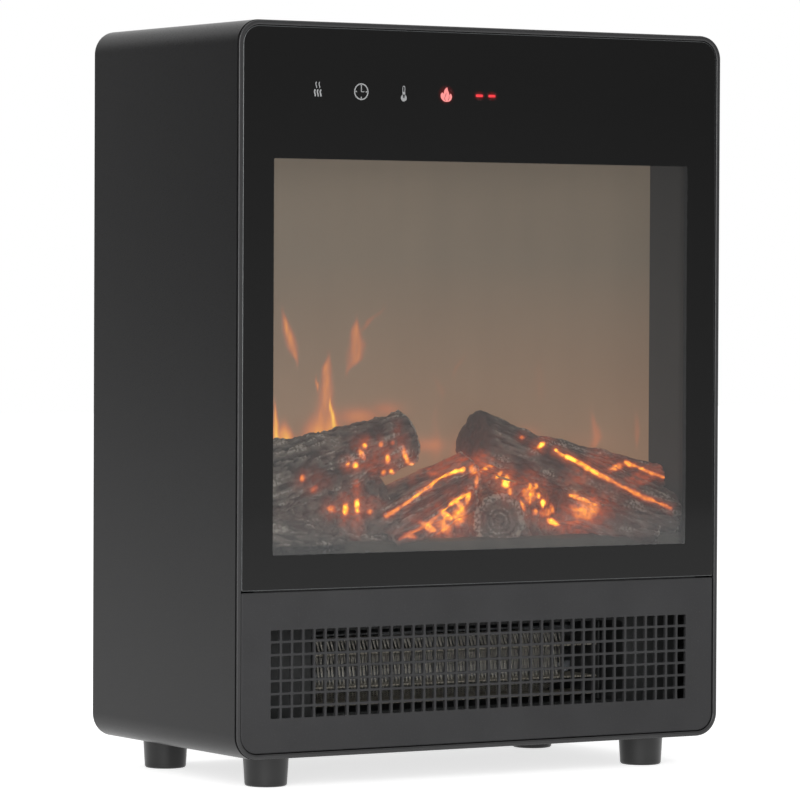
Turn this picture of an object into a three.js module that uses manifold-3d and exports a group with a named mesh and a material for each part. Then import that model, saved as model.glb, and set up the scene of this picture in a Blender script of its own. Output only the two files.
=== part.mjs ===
// Compact electric fireplace heater: a steel box on four feet, with a touch-key glass front, a lit log
// set and flame screen behind it, and a fan heater that blows out through a square-hole grille.
// Millimetres. +X to the viewer's right, +Y to the rear, +Z up; origin on the floor under the centre.
import * as THREE from "three";
import { mergeGeometries, mergeVertices } from "three/addons/utils/BufferGeometryUtils.js";
import Module from "manifold-3d";

const wasm = await Module();
wasm.setup();

// ---------------------------------------------------------------- driving dimensions
// Case
const caseWidth = 285;
const caseDepth = 149;
const caseHeight = 360; // steel body alone, without the feet
const cornerRadius = 12;
const sheet = 1; // steel sheet of the case and the inner plates
const seatGap = 0.3; // between pieces that rest on one another
const flangeWidth = 10; // folded strips that the rear cover is screwed to
const flangeCornerRelief = 20;
const rearRecess = 5; // rear cover's outer face inside the case's rear edge
const coverScrewX = 95; // upper and lower cover screws off the middle
const coverScrewRadius = 1.5;
const coverScrewHeadRadius = 3.5;
const coverScrewLength = 8;
const slotWidth = 5;
const slotPitch = 11;
const intakeSlotHeight = 25;
const intakeRowPitch = 30;
const upperSlotCount = 9;
const upperSlotHeight = 22;
const upperSlotDrop = 40; // top of the upper slots under the case's top

// Feet
const footHeight = 15.4;
const footTopRadius = 11.5;
const footBottomRadius = 10.5;
const footSideInset = 30.8;
const footFrontInset = 24.7;
const footRearInset = 21.3;
const footScrewRadius = 2;
const footScrewHeadRadius = 4;
const footRecessDepth = 9;
const footScrewReach = 6; // above the case floor
const footEdge = 1; // small chamfer round the sole

// Front frame and what sits in it
const lipReveal = 0.3; // lip outline inside the case outline
const lipWidth = 2.3;
const lipThickness = 1;
const caseSeam = 0.5;
const spigotClearance = 0.4;
const spigotDepth = 14;
const panelGap = 0.3;
const panelRecess = 0.5; // glass and grille panel behind the lip's face
const ledgeWidth = 12;
const ledgeThickness = 2;
const glassThickness = 3;
const dividerRise = 0.4; // joint between glass and grille panel, above the partition's underside
const dividerGap = 0.8;
const crossbarHeight = 11;
const upperCrossbarHeight = 14;
const upperCrossbarRise = 3.7; // over the window's top
const windowSideMargin = 20.3;
const windowTopMargin = 67.1;

// Air outlet grille
const grilleThickness = 2;
const grilleSkirt = 1.6;
const holeSize = 5.1;
const holePitch = 6.336;
const grilleSideMargin = 16.5;
const grilleBottomMargin = 16.9;
const grilleTopMargin = 18.1;
const panelTightRadius = 0.8; // corners of glass and grille panel at their joint

// Outlet baffle with its heater tunnel
const baffleDepth = 25; // behind the front
const baffleSideGap = 6.5;
const baffleCornerRadius = 6;
const motorBayWidth = 55.5; // from the case's left wall to the tunnel
const switchBayWidth = 40.5; // from the tunnel to the case's right wall
const tunnelRise = 18.6; // tunnel floor above the case's underside
const tunnelHeight = 41;
const tunnelDepth = 35;
const tunnelCornerRadius = 4;

// Heater
const micaThickness = 0.8;
const micaDepth = 24;
const micaFrontInset = 2.5; // behind the baffle
const micaLevels = [7, 15.8, 32.1]; // above the tunnel floor
const heaterEndInset = 14; // right end plate inside the tunnel
const heaterEndGap = 2.4; // left end plate off the tunnel's side wall
const heaterEndClearance = 0.65; // end plates under and over the tunnel's walls
const wireStrokePitch = 6;
const wireWidth = 0.8;
const wireUnheatedLength = 17;
const wireThickness = 1;
const wireInset = 2; // behind the mica's front edge
const cutoffX = 30;
const fuseX = -5;
const fuseLength = 14;
const fuseRadius = 2.2;

// Cross-flow blower
const impellerRadius = 24;
const impellerEndGap = 3;
const bladeCount = 16;
const bladeChord = 5.4;
const bladeThickness = 1;
const impellerDiscThickness = 1.5;
const shaftRadius = 2.5;
const shaftClearance = 0.3;
const scrollGap = 4; // impeller to scroll at the outlet
const scrollGapAtRear = 2.5;

// Blower motor
const coreWidth = 48;
const coreBelowShaft = 38;
const coreAboveShaft = 26;
const coreThickness = 14;
const rotorRadius = 12.4;
const rotorGap = 0.6;
const bridgeThickness = 3;
const bridgeLegLength = 3;
const bridgeBarHalf = 5;
const coilLimb = 12; // core under the coil window
const coilWindowHeight = 10;
const coilEnd = 3.6; // copper standing proud of the core
const coreSideLimb = 10;

// Firebox
const partitionClearance = 7; // shelf between heater and firebox, over the blower
const fireboxSideReveal = 4.3; // firebox wall outside the window's edge
const fireboxTopReveal = 8.7;
const screenDepth = 40; // screen's face behind the front
const screenThickness = 2;
const stencilOffset = 18.5; // behind the screen
const stencilHeight = 136;
const stencilSlitRise = 30;
const stencilSlitPitch = 22;
const stencilSlitWidth = 5;
const rearBayDepth = 38.5; // from the firebox's back wall to the case's rear edge

// Flame spindle
const spindleRadius = 2;
const spindleRise = 40; // above the firebox floor
const flagReach = 14;
const flagWidth = 9;
const flagPitch = 20;
const spindleMotorRadius = 17;
const spindleMotorLength = 16;
const spindleBushRadius = 4;
const spindleSocketDepth = 8;
const bracketHalfDepth = 14;
const bracketRise = 20; // over the spindle
const bracketFoot = 12;

// Controls
const keyPitch = 24.6;
const firstKeyX = -98.8;
const keyCount = 4;
const keyHeightBelowTop = 33;
const boardThickness = 1.6;
const springRadius = 4;
const boardHalf = 60; // main board
const boardDrop = 90; // its upper edge under the case's top
const boardHeight = 90;
const boardPostRadius = 3;
const boardPostInset = 6;
const ledSize = 5;
const ledHeight = 1.6;
const ledPitch = 18;
const displayOffset = 0.8; // display's middle right of the key row's next place
const displayHalf = [8, 6];

// Rear switch and cord inlet
const switchSideInset = 29.5; // from the case's right wall
const switchZ = 122;
const switchBezel = [22, 30];
const switchBody = [19, 27];
const switchCavity = [15.4, 24.4];
const switchKey = [14.6, 21.6];
const switchTilt = 10; // degrees either side of level
const switchBodyDepth = 18.5;
const switchBezelThickness = 1.8;
const glandSideInset = 23.5;
const glandZ = 48;
const glandBarrelRadius = 8;
const glandBore = 3.8;

// ---------------------------------------------------------------- derived planes
const front = -caseDepth / 2;
const back = caseDepth / 2;
const halfWidth = caseWidth / 2;
const innerHalf = halfWidth - sheet;
const bodyBottom = footHeight;
const bodyTop = footHeight + caseHeight;
const innerFloor = bodyBottom + sheet;
const footScrewTop = innerFloor + footScrewReach;

const panelInset = lipReveal + lipWidth + panelGap;
const glassFront = front + panelRecess;
const glassBack = glassFront + glassThickness;
const ledgeFront = glassBack + seatGap;
const ledgeBack = ledgeFront + ledgeThickness;
const behindSpigot = front + spigotDepth + seatGap;
const behindLedge = ledgeBack + seatGap;

const baffleY = front + baffleDepth;
const tunnelLeft = -innerHalf + motorBayWidth;
const tunnelRight = innerHalf - switchBayWidth;
const tunnelFloor = bodyBottom + tunnelRise;
const tunnelCeiling = tunnelFloor + tunnelHeight;
const tunnelEnd = baffleY + tunnelDepth;

const blowerZ = tunnelFloor + impellerRadius + scrollGap;
const blowerY = tunnelEnd + seatGap + impellerRadius + scrollGap;
const blowerTop = blowerZ + impellerRadius + scrollGap;

const partitionBottom = blowerTop + partitionClearance;
const partitionTop = partitionBottom + sheet;
const dividerHeight = partitionBottom + dividerRise;

const windowHalf = halfWidth - windowSideMargin;
const windowTop = bodyTop - windowTopMargin;

const coverOuter = back - rearRecess;
const coverInner = coverOuter - sheet;
const switchX = innerHalf - switchSideInset;
const glandX = innerHalf - glandSideInset;

const fireboxHalf = windowHalf + fireboxSideReveal;
const fireboxFloor = partitionTop + seatGap + sheet;
const fireboxCeiling = windowTop + fireboxTopReveal;
const fireboxBack = back - rearBayDepth - sheet;
const screenFront = front + screenDepth;
const screenBack = screenFront + screenThickness;
const stencilFront = screenBack + stencilOffset;
const stencilBack = stencilFront + sheet;
const spindleY = (stencilBack + fireboxBack) / 2;
const spindleZ = fireboxFloor + spindleRise;
const onFireboxFloor = fireboxFloor + seatGap;

const boardHigh = bodyTop - boardDrop;
const boardLow = boardHigh - boardHeight;
const boardFront = fireboxBack + sheet + 3 + seatGap; // on 3 mm posts behind the firebox

// ---------------------------------------------------------------- materials
const paint = (color, roughness, metalness = 0) =>
  new THREE.MeshStandardMaterial({ color, roughness, metalness });
const caseSteel = paint(0x323334, 0.5, 0.2);
const blackPlastic = paint(0x1d1d1f, 0.4);
const glassBlack = new THREE.MeshStandardMaterial({
  color: 0x26262a,
  roughness: 0.05,
  transparent: true,
  opacity: 0.4,
});
const grilleGrey = paint(0x424346, 0.55);
const footRubber = paint(0x232324, 0.45);
const zincSteel = paint(0x8f9295, 0.4, 0.8);
const screwSteel = paint(0x55585b, 0.35, 0.8);
const galvanised = paint(0x77787a, 0.5, 0.7);
const mica = paint(0xb8ad93, 0.7);
const nichrome = paint(0x8d8474, 0.35, 0.9);
const moulding = paint(0x3a3a3b, 0.6);
const screenAcrylic = paint(0x756d63, 0.6);
const logResin = paint(0x6d655f, 0.85);
const boardGreen = paint(0x1f5b3a, 0.5);
const copper = paint(0xa2622f, 0.4, 0.8);
const laminations = paint(0x6a6d70, 0.5, 0.8);
const displayBlack = paint(0x151515, 0.3);
const foil = paint(0xc9ccce, 0.2, 0.9);
const nylon = paint(0xd9d6cc, 0.6);

// ---------------------------------------------------------------- geometry helpers
const part = new THREE.Group();

/** A closed three.js geometry as a manifold-3d solid. */
function solidFrom(geometry) {
  const bare = geometry.clone();
  bare.deleteAttribute("normal");
  bare.deleteAttribute("uv");
  const merged = mergeVertices(bare, 1e-4);
  return new wasm.Manifold(
    new wasm.Mesh({
      numProp: 3,
      vertProperties: merged.attributes.position.array,
      triVerts: new Uint32Array(merged.index.array),
    }),
  );
}

/** A manifold-3d solid as a three.js geometry. */
function geometryFrom(solid) {
  const mesh = solid.getMesh();
  const geometry = new THREE.BufferGeometry();
  geometry.setAttribute("position", new THREE.BufferAttribute(mesh.vertProperties, 3));
  geometry.setIndex(new THREE.BufferAttribute(mesh.triVerts, 1));
  geometry.computeVertexNormals();
  return geometry;
}

const joined = (...geometries) => geometries.map(solidFrom).reduce((a, b) => a.add(b));
const cutBy = (solid, ...geometries) =>
  geometries.length ? solid.subtract(solidFrom(mergeGeometries(geometries.map(bareOf)))) : solid;

/** Position only, unindexed, so that unlike geometries can be merged. */
function bareOf(geometry) {
  const plain = geometry.index ? geometry.toNonIndexed() : geometry.clone();
  plain.deleteAttribute("normal");
  plain.deleteAttribute("uv");
  return plain;
}

/** Puts a named mesh into the part. */
function add(name, shape, material) {
  const geometry = shape.isBufferGeometry ? shape : geometryFrom(shape);
  const mesh = new THREE.Mesh(geometry, material);
  mesh.name = name;
  part.add(mesh);
  return mesh;
}

const box = (x0, x1, y0, y1, z0, z1) =>
  new THREE.BoxGeometry(x1 - x0, y1 - y0, z1 - z0).translate(
    (x0 + x1) / 2,
    (y0 + y1) / 2,
    (z0 + z1) / 2,
  );

/** A rectangle with round corners, lower and upper radii apart. */
function roundedOutline(x0, x1, z0, z1, lowerRadius, upperRadius = lowerRadius) {
  const shape = new THREE.Shape();
  let begun = false;
  const corner = (x, z, radius, start) => {
    if (radius > 0) shape.absarc(x, z, radius, start, start + Math.PI / 2, false);
    else if (begun) shape.lineTo(x, z);
    else shape.moveTo(x, z);
    begun = true;
  };
  corner(x1 - upperRadius, z1 - upperRadius, upperRadius, 0);
  corner(x0 + upperRadius, z1 - upperRadius, upperRadius, Math.PI / 2);
  corner(x0 + lowerRadius, z0 + lowerRadius, lowerRadius, Math.PI);
  corner(x1 - lowerRadius, z0 + lowerRadius, lowerRadius, 1.5 * Math.PI);
  shape.closePath();
  return shape;
}

const arcSteps = 5;

/** An X-Z outline made solid from y0 back to y1. */
function slab(shape, y0, y1) {
  const options = { depth: y1 - y0, bevelEnabled: false, curveSegments: arcSteps };
  return new THREE.ExtrudeGeometry(shape, options).rotateX(Math.PI / 2).translate(0, y1, 0);
}

/** The case outline drawn in by an inset, as a slab. */
function caseSlab(inset, y0, y1) {
  const outline = roundedOutline(
    -halfWidth + inset,
    halfWidth - inset,
    bodyBottom + inset,
    bodyTop - inset,
    cornerRadius - inset,
  );
  return slab(outline, y0, y1);
}

/** The case outline as a ring between two insets. */
const caseRing = (outerInset, innerInset, y0, y1) =>
  solidFrom(caseSlab(outerInset, y0, y1)).subtract(solidFrom(caseSlab(innerInset, y0 - 1, y1 + 1)));

/** A Y-Z outline made solid along X. */
function extrusionX(shape, x0, x1) {
  const turn = new THREE.Matrix4().set(0, 0, 1, x0, 1, 0, 0, 0, 0, 1, 0, 0, 0, 0, 0, 1);
  const options = { depth: x1 - x0, bevelEnabled: false, curveSegments: arcSteps };
  return new THREE.ExtrudeGeometry(shape, options).applyMatrix4(turn);
}

/** A polyline of [u, v] points given an even width, as a closed shape. */
function ribbon(points, width) {
  const line = points.map(([u, v]) => new THREE.Vector2(u, v));
  const normals = line.slice(1).map((p, i) => {
    const along = p.clone().sub(line[i]).normalize();
    return new THREE.Vector2(-along.y, along.x);
  });
  const offsets = line.map((p, i) => {
    const before = normals[Math.max(i - 1, 0)];
    const after = normals[Math.min(i, normals.length - 1)];
    return before.clone().add(after).multiplyScalar(width / 2 / (1 + before.dot(after)));
  });
  const right = line.map((p, i) => p.clone().sub(offsets[i]));
  const left = line.map((p, i) => p.clone().add(offsets[i]));
  return new THREE.Shape([...right, ...left.reverse()]);
}

const rodX = (radius, x0, x1, y, z, sides = 20) =>
  new THREE.CylinderGeometry(radius, radius, x1 - x0, sides)
    .rotateZ(-Math.PI / 2)
    .translate((x0 + x1) / 2, y, z);
const rodY = (radius, y0, y1, x, z, sides = 12) =>
  new THREE.CylinderGeometry(radius, radius, y1 - y0, sides).translate(x, (y0 + y1) / 2, z);
const rodZ = (radius, z0, z1, x, y, sides = 12) =>
  new THREE.CylinderGeometry(radius, radius, z1 - z0, sides)
    .rotateX(Math.PI / 2)
    .translate(x, y, (z0 + z1) / 2);

/** A turned piece from [radius, height] points that start and end on the axis or close on themselves. */
const turned = (profile, sides) =>
  new THREE.LatheGeometry(
    profile.map(([radius, height]) => new THREE.Vector2(radius, height)),
    sides,
  );

// ---------------------------------------------------------------- case, cover and feet
const coverScrews = [
  [-coverScrewX, bodyTop - sheet - flangeWidth / 2],
  [coverScrewX, bodyTop - sheet - flangeWidth / 2],
  [-innerHalf + flangeWidth / 2, (bodyBottom + bodyTop) / 2],
  [innerHalf - flangeWidth / 2, (bodyBottom + bodyTop) / 2],
  [-coverScrewX, innerFloor + flangeWidth / 2],
  [coverScrewX, innerFloor + flangeWidth / 2],
];
const feet = [
  ["front_left", -1, front + footFrontInset],
  ["front_right", 1, front + footFrontInset],
  ["rear_left", -1, back - footRearInset],
  ["rear_right", 1, back - footRearInset],
].map(([place, side, y]) => ({ place, x: side * (halfWidth - footSideInset), y }));

function makeCase() {
  const y0 = front + lipThickness + caseSeam;
  const flangeBack = coverInner - seatGap;
  const flangeFront = flangeBack - sheet;
  const rootOverlap = sheet / 2;
  const acrossHalf = halfWidth - flangeCornerRelief;
  const strip = (x0, x1, z0, z1) => box(x0, x1, flangeFront, flangeBack, z0, z1);
  const wall = innerHalf + rootOverlap;
  const ceiling = bodyTop - sheet + rootOverlap;
  const floor = innerFloor - rootOverlap;
  const strips = [
    strip(-acrossHalf, acrossHalf, bodyTop - sheet - flangeWidth, ceiling),
    strip(-acrossHalf, acrossHalf, floor, innerFloor + flangeWidth),
    strip(-wall, -innerHalf + flangeWidth, bodyBottom + flangeCornerRelief, bodyTop - flangeCornerRelief),
    strip(innerHalf - flangeWidth, wall, bodyBottom + flangeCornerRelief, bodyTop - flangeCornerRelief),
  ];
  let shell = caseRing(0, sheet, y0, back);
  for (const flange of strips) shell = shell.add(solidFrom(flange));
  const tapped = coverScrewRadius + seatGap;
  const screwHoles = coverScrews.map(([x, z]) => rodY(tapped, flangeFront - 1, flangeBack + 1, x, z, 8));
  const footHoles = feet.map(({ x, y }) =>
    rodZ(footScrewRadius + seatGap, bodyBottom - 1, innerFloor + 1, x, y, 8),
  );
  add("case_shell", cutBy(shell, ...screwHoles, ...footHoles), caseSteel);
}

function makeRearCover() {
  const inset = sheet + spigotClearance;
  const cut = (x0, x1, z0, z1) => box(x0, x1, coverInner - 1, coverOuter + 1, z0, z1);
  const slots = [];
  const intakeCount = Math.floor((tunnelRight - tunnelLeft - slotWidth) / slotPitch) + 1;
  const intakeStart = (tunnelLeft + tunnelRight - (intakeCount - 1) * slotPitch) / 2;
  for (const low of [tunnelFloor, tunnelFloor + intakeRowPitch]) {
    for (let i = 0; i < intakeCount; i++) {
      const x = intakeStart + i * slotPitch;
      slots.push(cut(x - slotWidth / 2, x + slotWidth / 2, low, low + intakeSlotHeight));
    }
  }
  const upperTop = bodyTop - upperSlotDrop;
  for (let i = 0; i < upperSlotCount; i++) {
    const x = (i - (upperSlotCount - 1) / 2) * slotPitch;
    slots.push(cut(x - slotWidth / 2, x + slotWidth / 2, upperTop - upperSlotHeight, upperTop));
  }
  const loose = coverScrewRadius + 0.7;
  const screwHoles = coverScrews.map(([x, z]) => rodY(loose, coverInner - 1, coverOuter + 1, x, z, 8));
  const [bodyWide, bodyTall] = switchBody.map((size) => size / 2 + seatGap);
  const switchHole = cut(switchX - bodyWide, switchX + bodyWide, switchZ - bodyTall, switchZ + bodyTall);
  const glandHole = rodY(glandBarrelRadius + seatGap, coverInner - 1, coverOuter + 1, glandX, glandZ, 20);
  const sheetMetal = solidFrom(caseSlab(inset, coverInner, coverOuter));
  add("rear_cover", cutBy(sheetMetal, ...slots, ...screwHoles, switchHole, glandHole), caseSteel);

  coverScrews.forEach(([x, z], i) => {
    const profile = [
      [0, -coverScrewLength],
      [coverScrewRadius, -coverScrewLength],
      [coverScrewRadius, 0],
      [coverScrewHeadRadius, 0],
      [coverScrewHeadRadius, 1],
      [2.4, 2.2],
      [0, 2.2],
    ];
    const screw = turned(profile, 10).translate(x, coverOuter + seatGap, z);
    add("cover_screw_" + (i + 1), screw, screwSteel);
  });
}

function makeFeet() {
  const top = footHeight - seatGap;
  const recess = footScrewHeadRadius + 0.8;
  const hole = footScrewRadius + seatGap;
  const footProfile = [
    [recess, 0],
    [footBottomRadius - footEdge, 0],
    [footBottomRadius, footEdge],
    [footTopRadius, top],
    [hole, top],
    [hole, footRecessDepth],
    [recess, footRecessDepth],
    [recess, 0],
  ];
  const headTop = footRecessDepth - seatGap;
  const screwProfile = [
    [0, headTop - 2.5],
    [footScrewHeadRadius, headTop - 2.5],
    [footScrewHeadRadius, headTop],
    [footScrewRadius, headTop],
    [footScrewRadius, footScrewTop],
    [0, footScrewTop],
  ];
  for (const { place, x, y } of feet) {
    add("foot_" + place, turned(footProfile, 16).rotateX(Math.PI / 2).translate(x, y, 0), footRubber);
    const screw = turned(screwProfile, 10).rotateX(Math.PI / 2).translate(x, y, 0);
    add("foot_screw_" + place, screw, screwSteel);
  }
}

// ---------------------------------------------------------------- front
function makeFrontFrame() {
  const lipInner = lipReveal + lipWidth;
  const spigotOuter = sheet + spigotClearance;
  const barHalf = halfWidth - spigotOuter - 0.2;
  const bar = (z0, z1) => box(-barHalf, barHalf, ledgeFront, ledgeBack, z0, z1);
  const upperBar = windowTop + upperCrossbarRise;
  const frame = caseRing(lipReveal, lipInner, front, front + lipThickness)
    .add(caseRing(spigotOuter, lipInner, front, front + spigotDepth))
    .add(caseRing(spigotOuter, ledgeWidth, ledgeFront, ledgeBack))
    .add(solidFrom(bar(dividerHeight - crossbarHeight / 2, dividerHeight + crossbarHeight / 2)))
    .add(solidFrom(bar(upperBar, upperBar + upperCrossbarHeight)));
  add("front_frame", frame, blackPlastic);
}

function makeGlass() {
  const outline = roundedOutline(
    -halfWidth + panelInset,
    halfWidth - panelInset,
    dividerHeight + dividerGap / 2,
    bodyTop - panelInset,
    panelTightRadius,
    cornerRadius - panelInset,
  );
  add("front_glass", slab(outline, glassFront, glassBack), glassBlack);
}

function makeGrille() {
  const half = halfWidth - panelInset;
  const low = bodyBottom + panelInset;
  const high = dividerHeight - dividerGap / 2;
  const radius = cornerRadius - panelInset;
  const outline = roundedOutline(-half, half, low, high, radius, panelTightRadius);
  const inside = roundedOutline(
    -half + grilleSkirt,
    half - grilleSkirt,
    low + grilleSkirt,
    high - grilleSkirt,
    radius - grilleSkirt,
    0,
  );
  const faceBack = glassFront + grilleThickness;
  const tray = solidFrom(slab(outline, glassFront, glassBack)).subtract(
    solidFrom(slab(inside, faceBack, glassBack + 1)),
  );
  const columns = Math.floor((2 * (half - grilleSideMargin) - holeSize) / holePitch) + 1;
  const fieldHeight = high - low - grilleBottomMargin - grilleTopMargin;
  const rows = Math.floor((fieldHeight - holeSize) / holePitch) + 1;
  const firstRow = low + grilleBottomMargin + holeSize / 2;
  const holes = [];
  for (let row = 0; row < rows; row++) {
    for (let column = 0; column < columns; column++) {
      const x = (column - (columns - 1) / 2) * holePitch;
      const z = firstRow + row * holePitch;
      const r = holeSize / 2;
      holes.push(box(x - r, x + r, glassFront - 1, faceBack + 1, z - r, z + r));
    }
  }
  add("grille_panel", cutBy(tray, ...holes), grilleGrey);
}

// ---------------------------------------------------------------- heater bay
function makeBaffle() {
  const half = innerHalf - baffleSideGap;
  const low = innerFloor + seatGap;
  const high = partitionBottom - seatGap;
  const plateBack = baffleY + sheet;
  const opening = (grow) =>
    roundedOutline(
      tunnelLeft - grow,
      tunnelRight + grow,
      tunnelFloor - grow,
      tunnelCeiling + grow,
      tunnelCornerRadius + grow,
    );
  const screwNotches = feet.map(({ x, y }) =>
    rodZ(footScrewRadius + 1, low - 1, footScrewTop + seatGap, x, y, 8),
  );
  const baffle = joined(
    slab(roundedOutline(-half, half, low, high, baffleCornerRadius, 0), baffleY, plateBack),
    box(-half, half, behindLedge, plateBack, high - sheet, high),
    box(-half + baffleCornerRadius, half - baffleCornerRadius, behindSpigot, plateBack, low, low + sheet),
    slab(opening(sheet), baffleY + sheet / 2, tunnelEnd),
  );
  const cuts = [slab(opening(0), baffleY - 1, tunnelEnd + 1), ...screwNotches];
  add("outlet_baffle", cutBy(baffle, ...cuts), galvanised);
}

function makeHeater() {
  const y0 = baffleY + sheet + micaFrontInset - 1;
  const y1 = y0 + micaDepth;
  const leftEnd = tunnelLeft + heaterEndGap;
  const rightEnd = tunnelRight - heaterEndInset;
  const low = tunnelFloor + heaterEndClearance;
  const high = tunnelCeiling - heaterEndClearance;
  const endPlate = (x) => box(x, x + sheet, y0 - 1, y1 + 1, low, high);
  add("heater_end_left", endPlate(leftEnd), mica);
  add("heater_end_right", endPlate(rightEnd - sheet), mica);
  const stripLeft = leftEnd + sheet + seatGap;
  const stripRight = rightEnd - sheet - seatGap;
  const levels = micaLevels.map((level) => tunnelFloor + level);
  levels.forEach((z, i) => {
    const strip = box(stripLeft, stripRight, y0, y1, z - micaThickness / 2, z + micaThickness / 2);
    add("mica_strip_" + (i + 1), strip, mica);
  });
  const clear = micaThickness / 2 + seatGap + wireWidth / 2;
  const spans = [
    [levels[0] + clear, levels[1] - clear],
    [levels[1] + clear, levels[2] - clear],
    [levels[2] + clear, tunnelCeiling - seatGap - wireWidth],
  ];
  const strokes = Math.floor((stripRight - wireUnheatedLength - stripLeft) / wireStrokePitch);
  spans.forEach(([bottom, top], i) => {
    const points = [];
    for (let k = 0; k <= strokes; k++) {
      const x = stripLeft + 1 + k * wireStrokePitch;
      points.push(...(k % 2 ? [[x, top], [x, bottom]] : [[x, bottom], [x, top]]));
    }
    const wire = slab(ribbon(points, wireWidth), y0 + wireInset, y0 + wireInset + wireThickness);
    add("heater_wire_" + (i + 1), wire, nichrome);
  });
  const onTunnel = tunnelCeiling + sheet + seatGap;
  const middle = (baffleY + tunnelEnd) / 2;
  const cutoff = [
    [0, 0],
    [8, 0],
    [8, 1.2],
    [6.5, 1.2],
    [6.5, 7],
    [0, 7],
  ];
  const disc = turned(cutoff, 14).rotateX(Math.PI / 2).translate(cutoffX, middle, onTunnel);
  add("thermal_cutoff", disc, zincSteel);
  const fuseEnds = [fuseX - fuseLength / 2, fuseX + fuseLength / 2];
  add("thermal_fuse", rodX(fuseRadius, ...fuseEnds, middle, onTunnel + fuseRadius, 10), nylon);
}

// ---------------------------------------------------------------- blower
function makeBlower() {
  const y0 = tunnelEnd + seatGap;
  const plateRear = blowerY + impellerRadius + scrollGap;
  const plate = (x) => box(x, x + sheet, y0, plateRear, innerFloor + seatGap, blowerTop);
  const scroll = [];
  const steps = 8;
  for (let i = 0; i <= steps; i++) {
    const share = i / steps;
    const angle = (-Math.PI / 2) * share;
    const gap = scrollGapAtRear + (scrollGap - scrollGapAtRear) * share;
    const radius = impellerRadius + gap + sheet / 2;
    scroll.push([blowerY + radius * Math.cos(angle), blowerZ + radius * Math.sin(angle)]);
  }
  scroll.push([y0, tunnelFloor - sheet / 2]);
  const tongueZ = tunnelCeiling + sheet / 2;
  const tongue = [
    [y0, tongueZ],
    [y0 + 4.6, tongueZ],
    [y0 + 2.7, tongueZ + 8],
    [y0 + 2.7, blowerTop],
  ];
  const x0 = tunnelLeft - sheet;
  const x1 = tunnelRight + sheet;
  const across = (points) => extrusionX(ribbon(points, sheet), x0 + sheet / 2, x1 - sheet / 2);
  const housing = joined(plate(x0), plate(x1 - sheet), across(scroll), across(tongue));
  const shaftHole = rodX(shaftRadius + 2, x0 - 1, x1 + 1, blowerY, blowerZ, 16);
  add("blower_housing", cutBy(housing, shaftHole), galvanised);

  const left = tunnelLeft + impellerEndGap;
  const right = tunnelRight - impellerEndGap;
  const disc = (x) => rodX(impellerRadius, x, x + impellerDiscThickness, blowerY, blowerZ, 30);
  let impeller = joined(disc(left), disc((left + right) / 2), disc(right - impellerDiscThickness));
  const blades = [];
  for (let i = 0; i < bladeCount; i++) {
    const blade = new THREE.BoxGeometry(right - left - 1, bladeChord, bladeThickness);
    blade.rotateX(THREE.MathUtils.degToRad(35));
    blade.translate((left + right) / 2, impellerRadius - 3.2, 0);
    blade.rotateX((2 * Math.PI * i) / bladeCount);
    blades.push(bareOf(blade.translate(0, blowerY, blowerZ)));
  }
  impeller = impeller.add(solidFrom(mergeGeometries(blades)));
  const bore = rodX(shaftRadius + shaftClearance, left - 1, right + 1, blowerY, blowerZ, 16);
  add("impeller", cutBy(impeller, bore), zincSteel);

  const bushLeft = x1 + seatGap;
  const bushLength = 6;
  const bushProfile = [
    [shaftRadius + shaftClearance, 0],
    [7, 0],
    [7, 2],
    [5, 2],
    [5, bushLength],
    [shaftRadius + shaftClearance, bushLength],
    [shaftRadius + shaftClearance, 0],
  ];
  const bush = turned(bushProfile, 16).rotateZ(-Math.PI / 2).translate(bushLeft, blowerY, blowerZ);
  add("impeller_bush", bush, nylon);

  const coreRight = x0 - seatGap - bridgeThickness - bridgeLegLength - seatGap;
  const coreLeft = coreRight - coreThickness;
  makeMotor(coreLeft, coreRight);
  const shaftLeft = coreLeft - seatGap - bridgeThickness - bridgeLegLength - 2;
  const shaft = rodX(shaftRadius, shaftLeft, bushLeft + bushLength, blowerY, blowerZ, 16);
  add("impeller_shaft", shaft, zincSteel);
}

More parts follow.
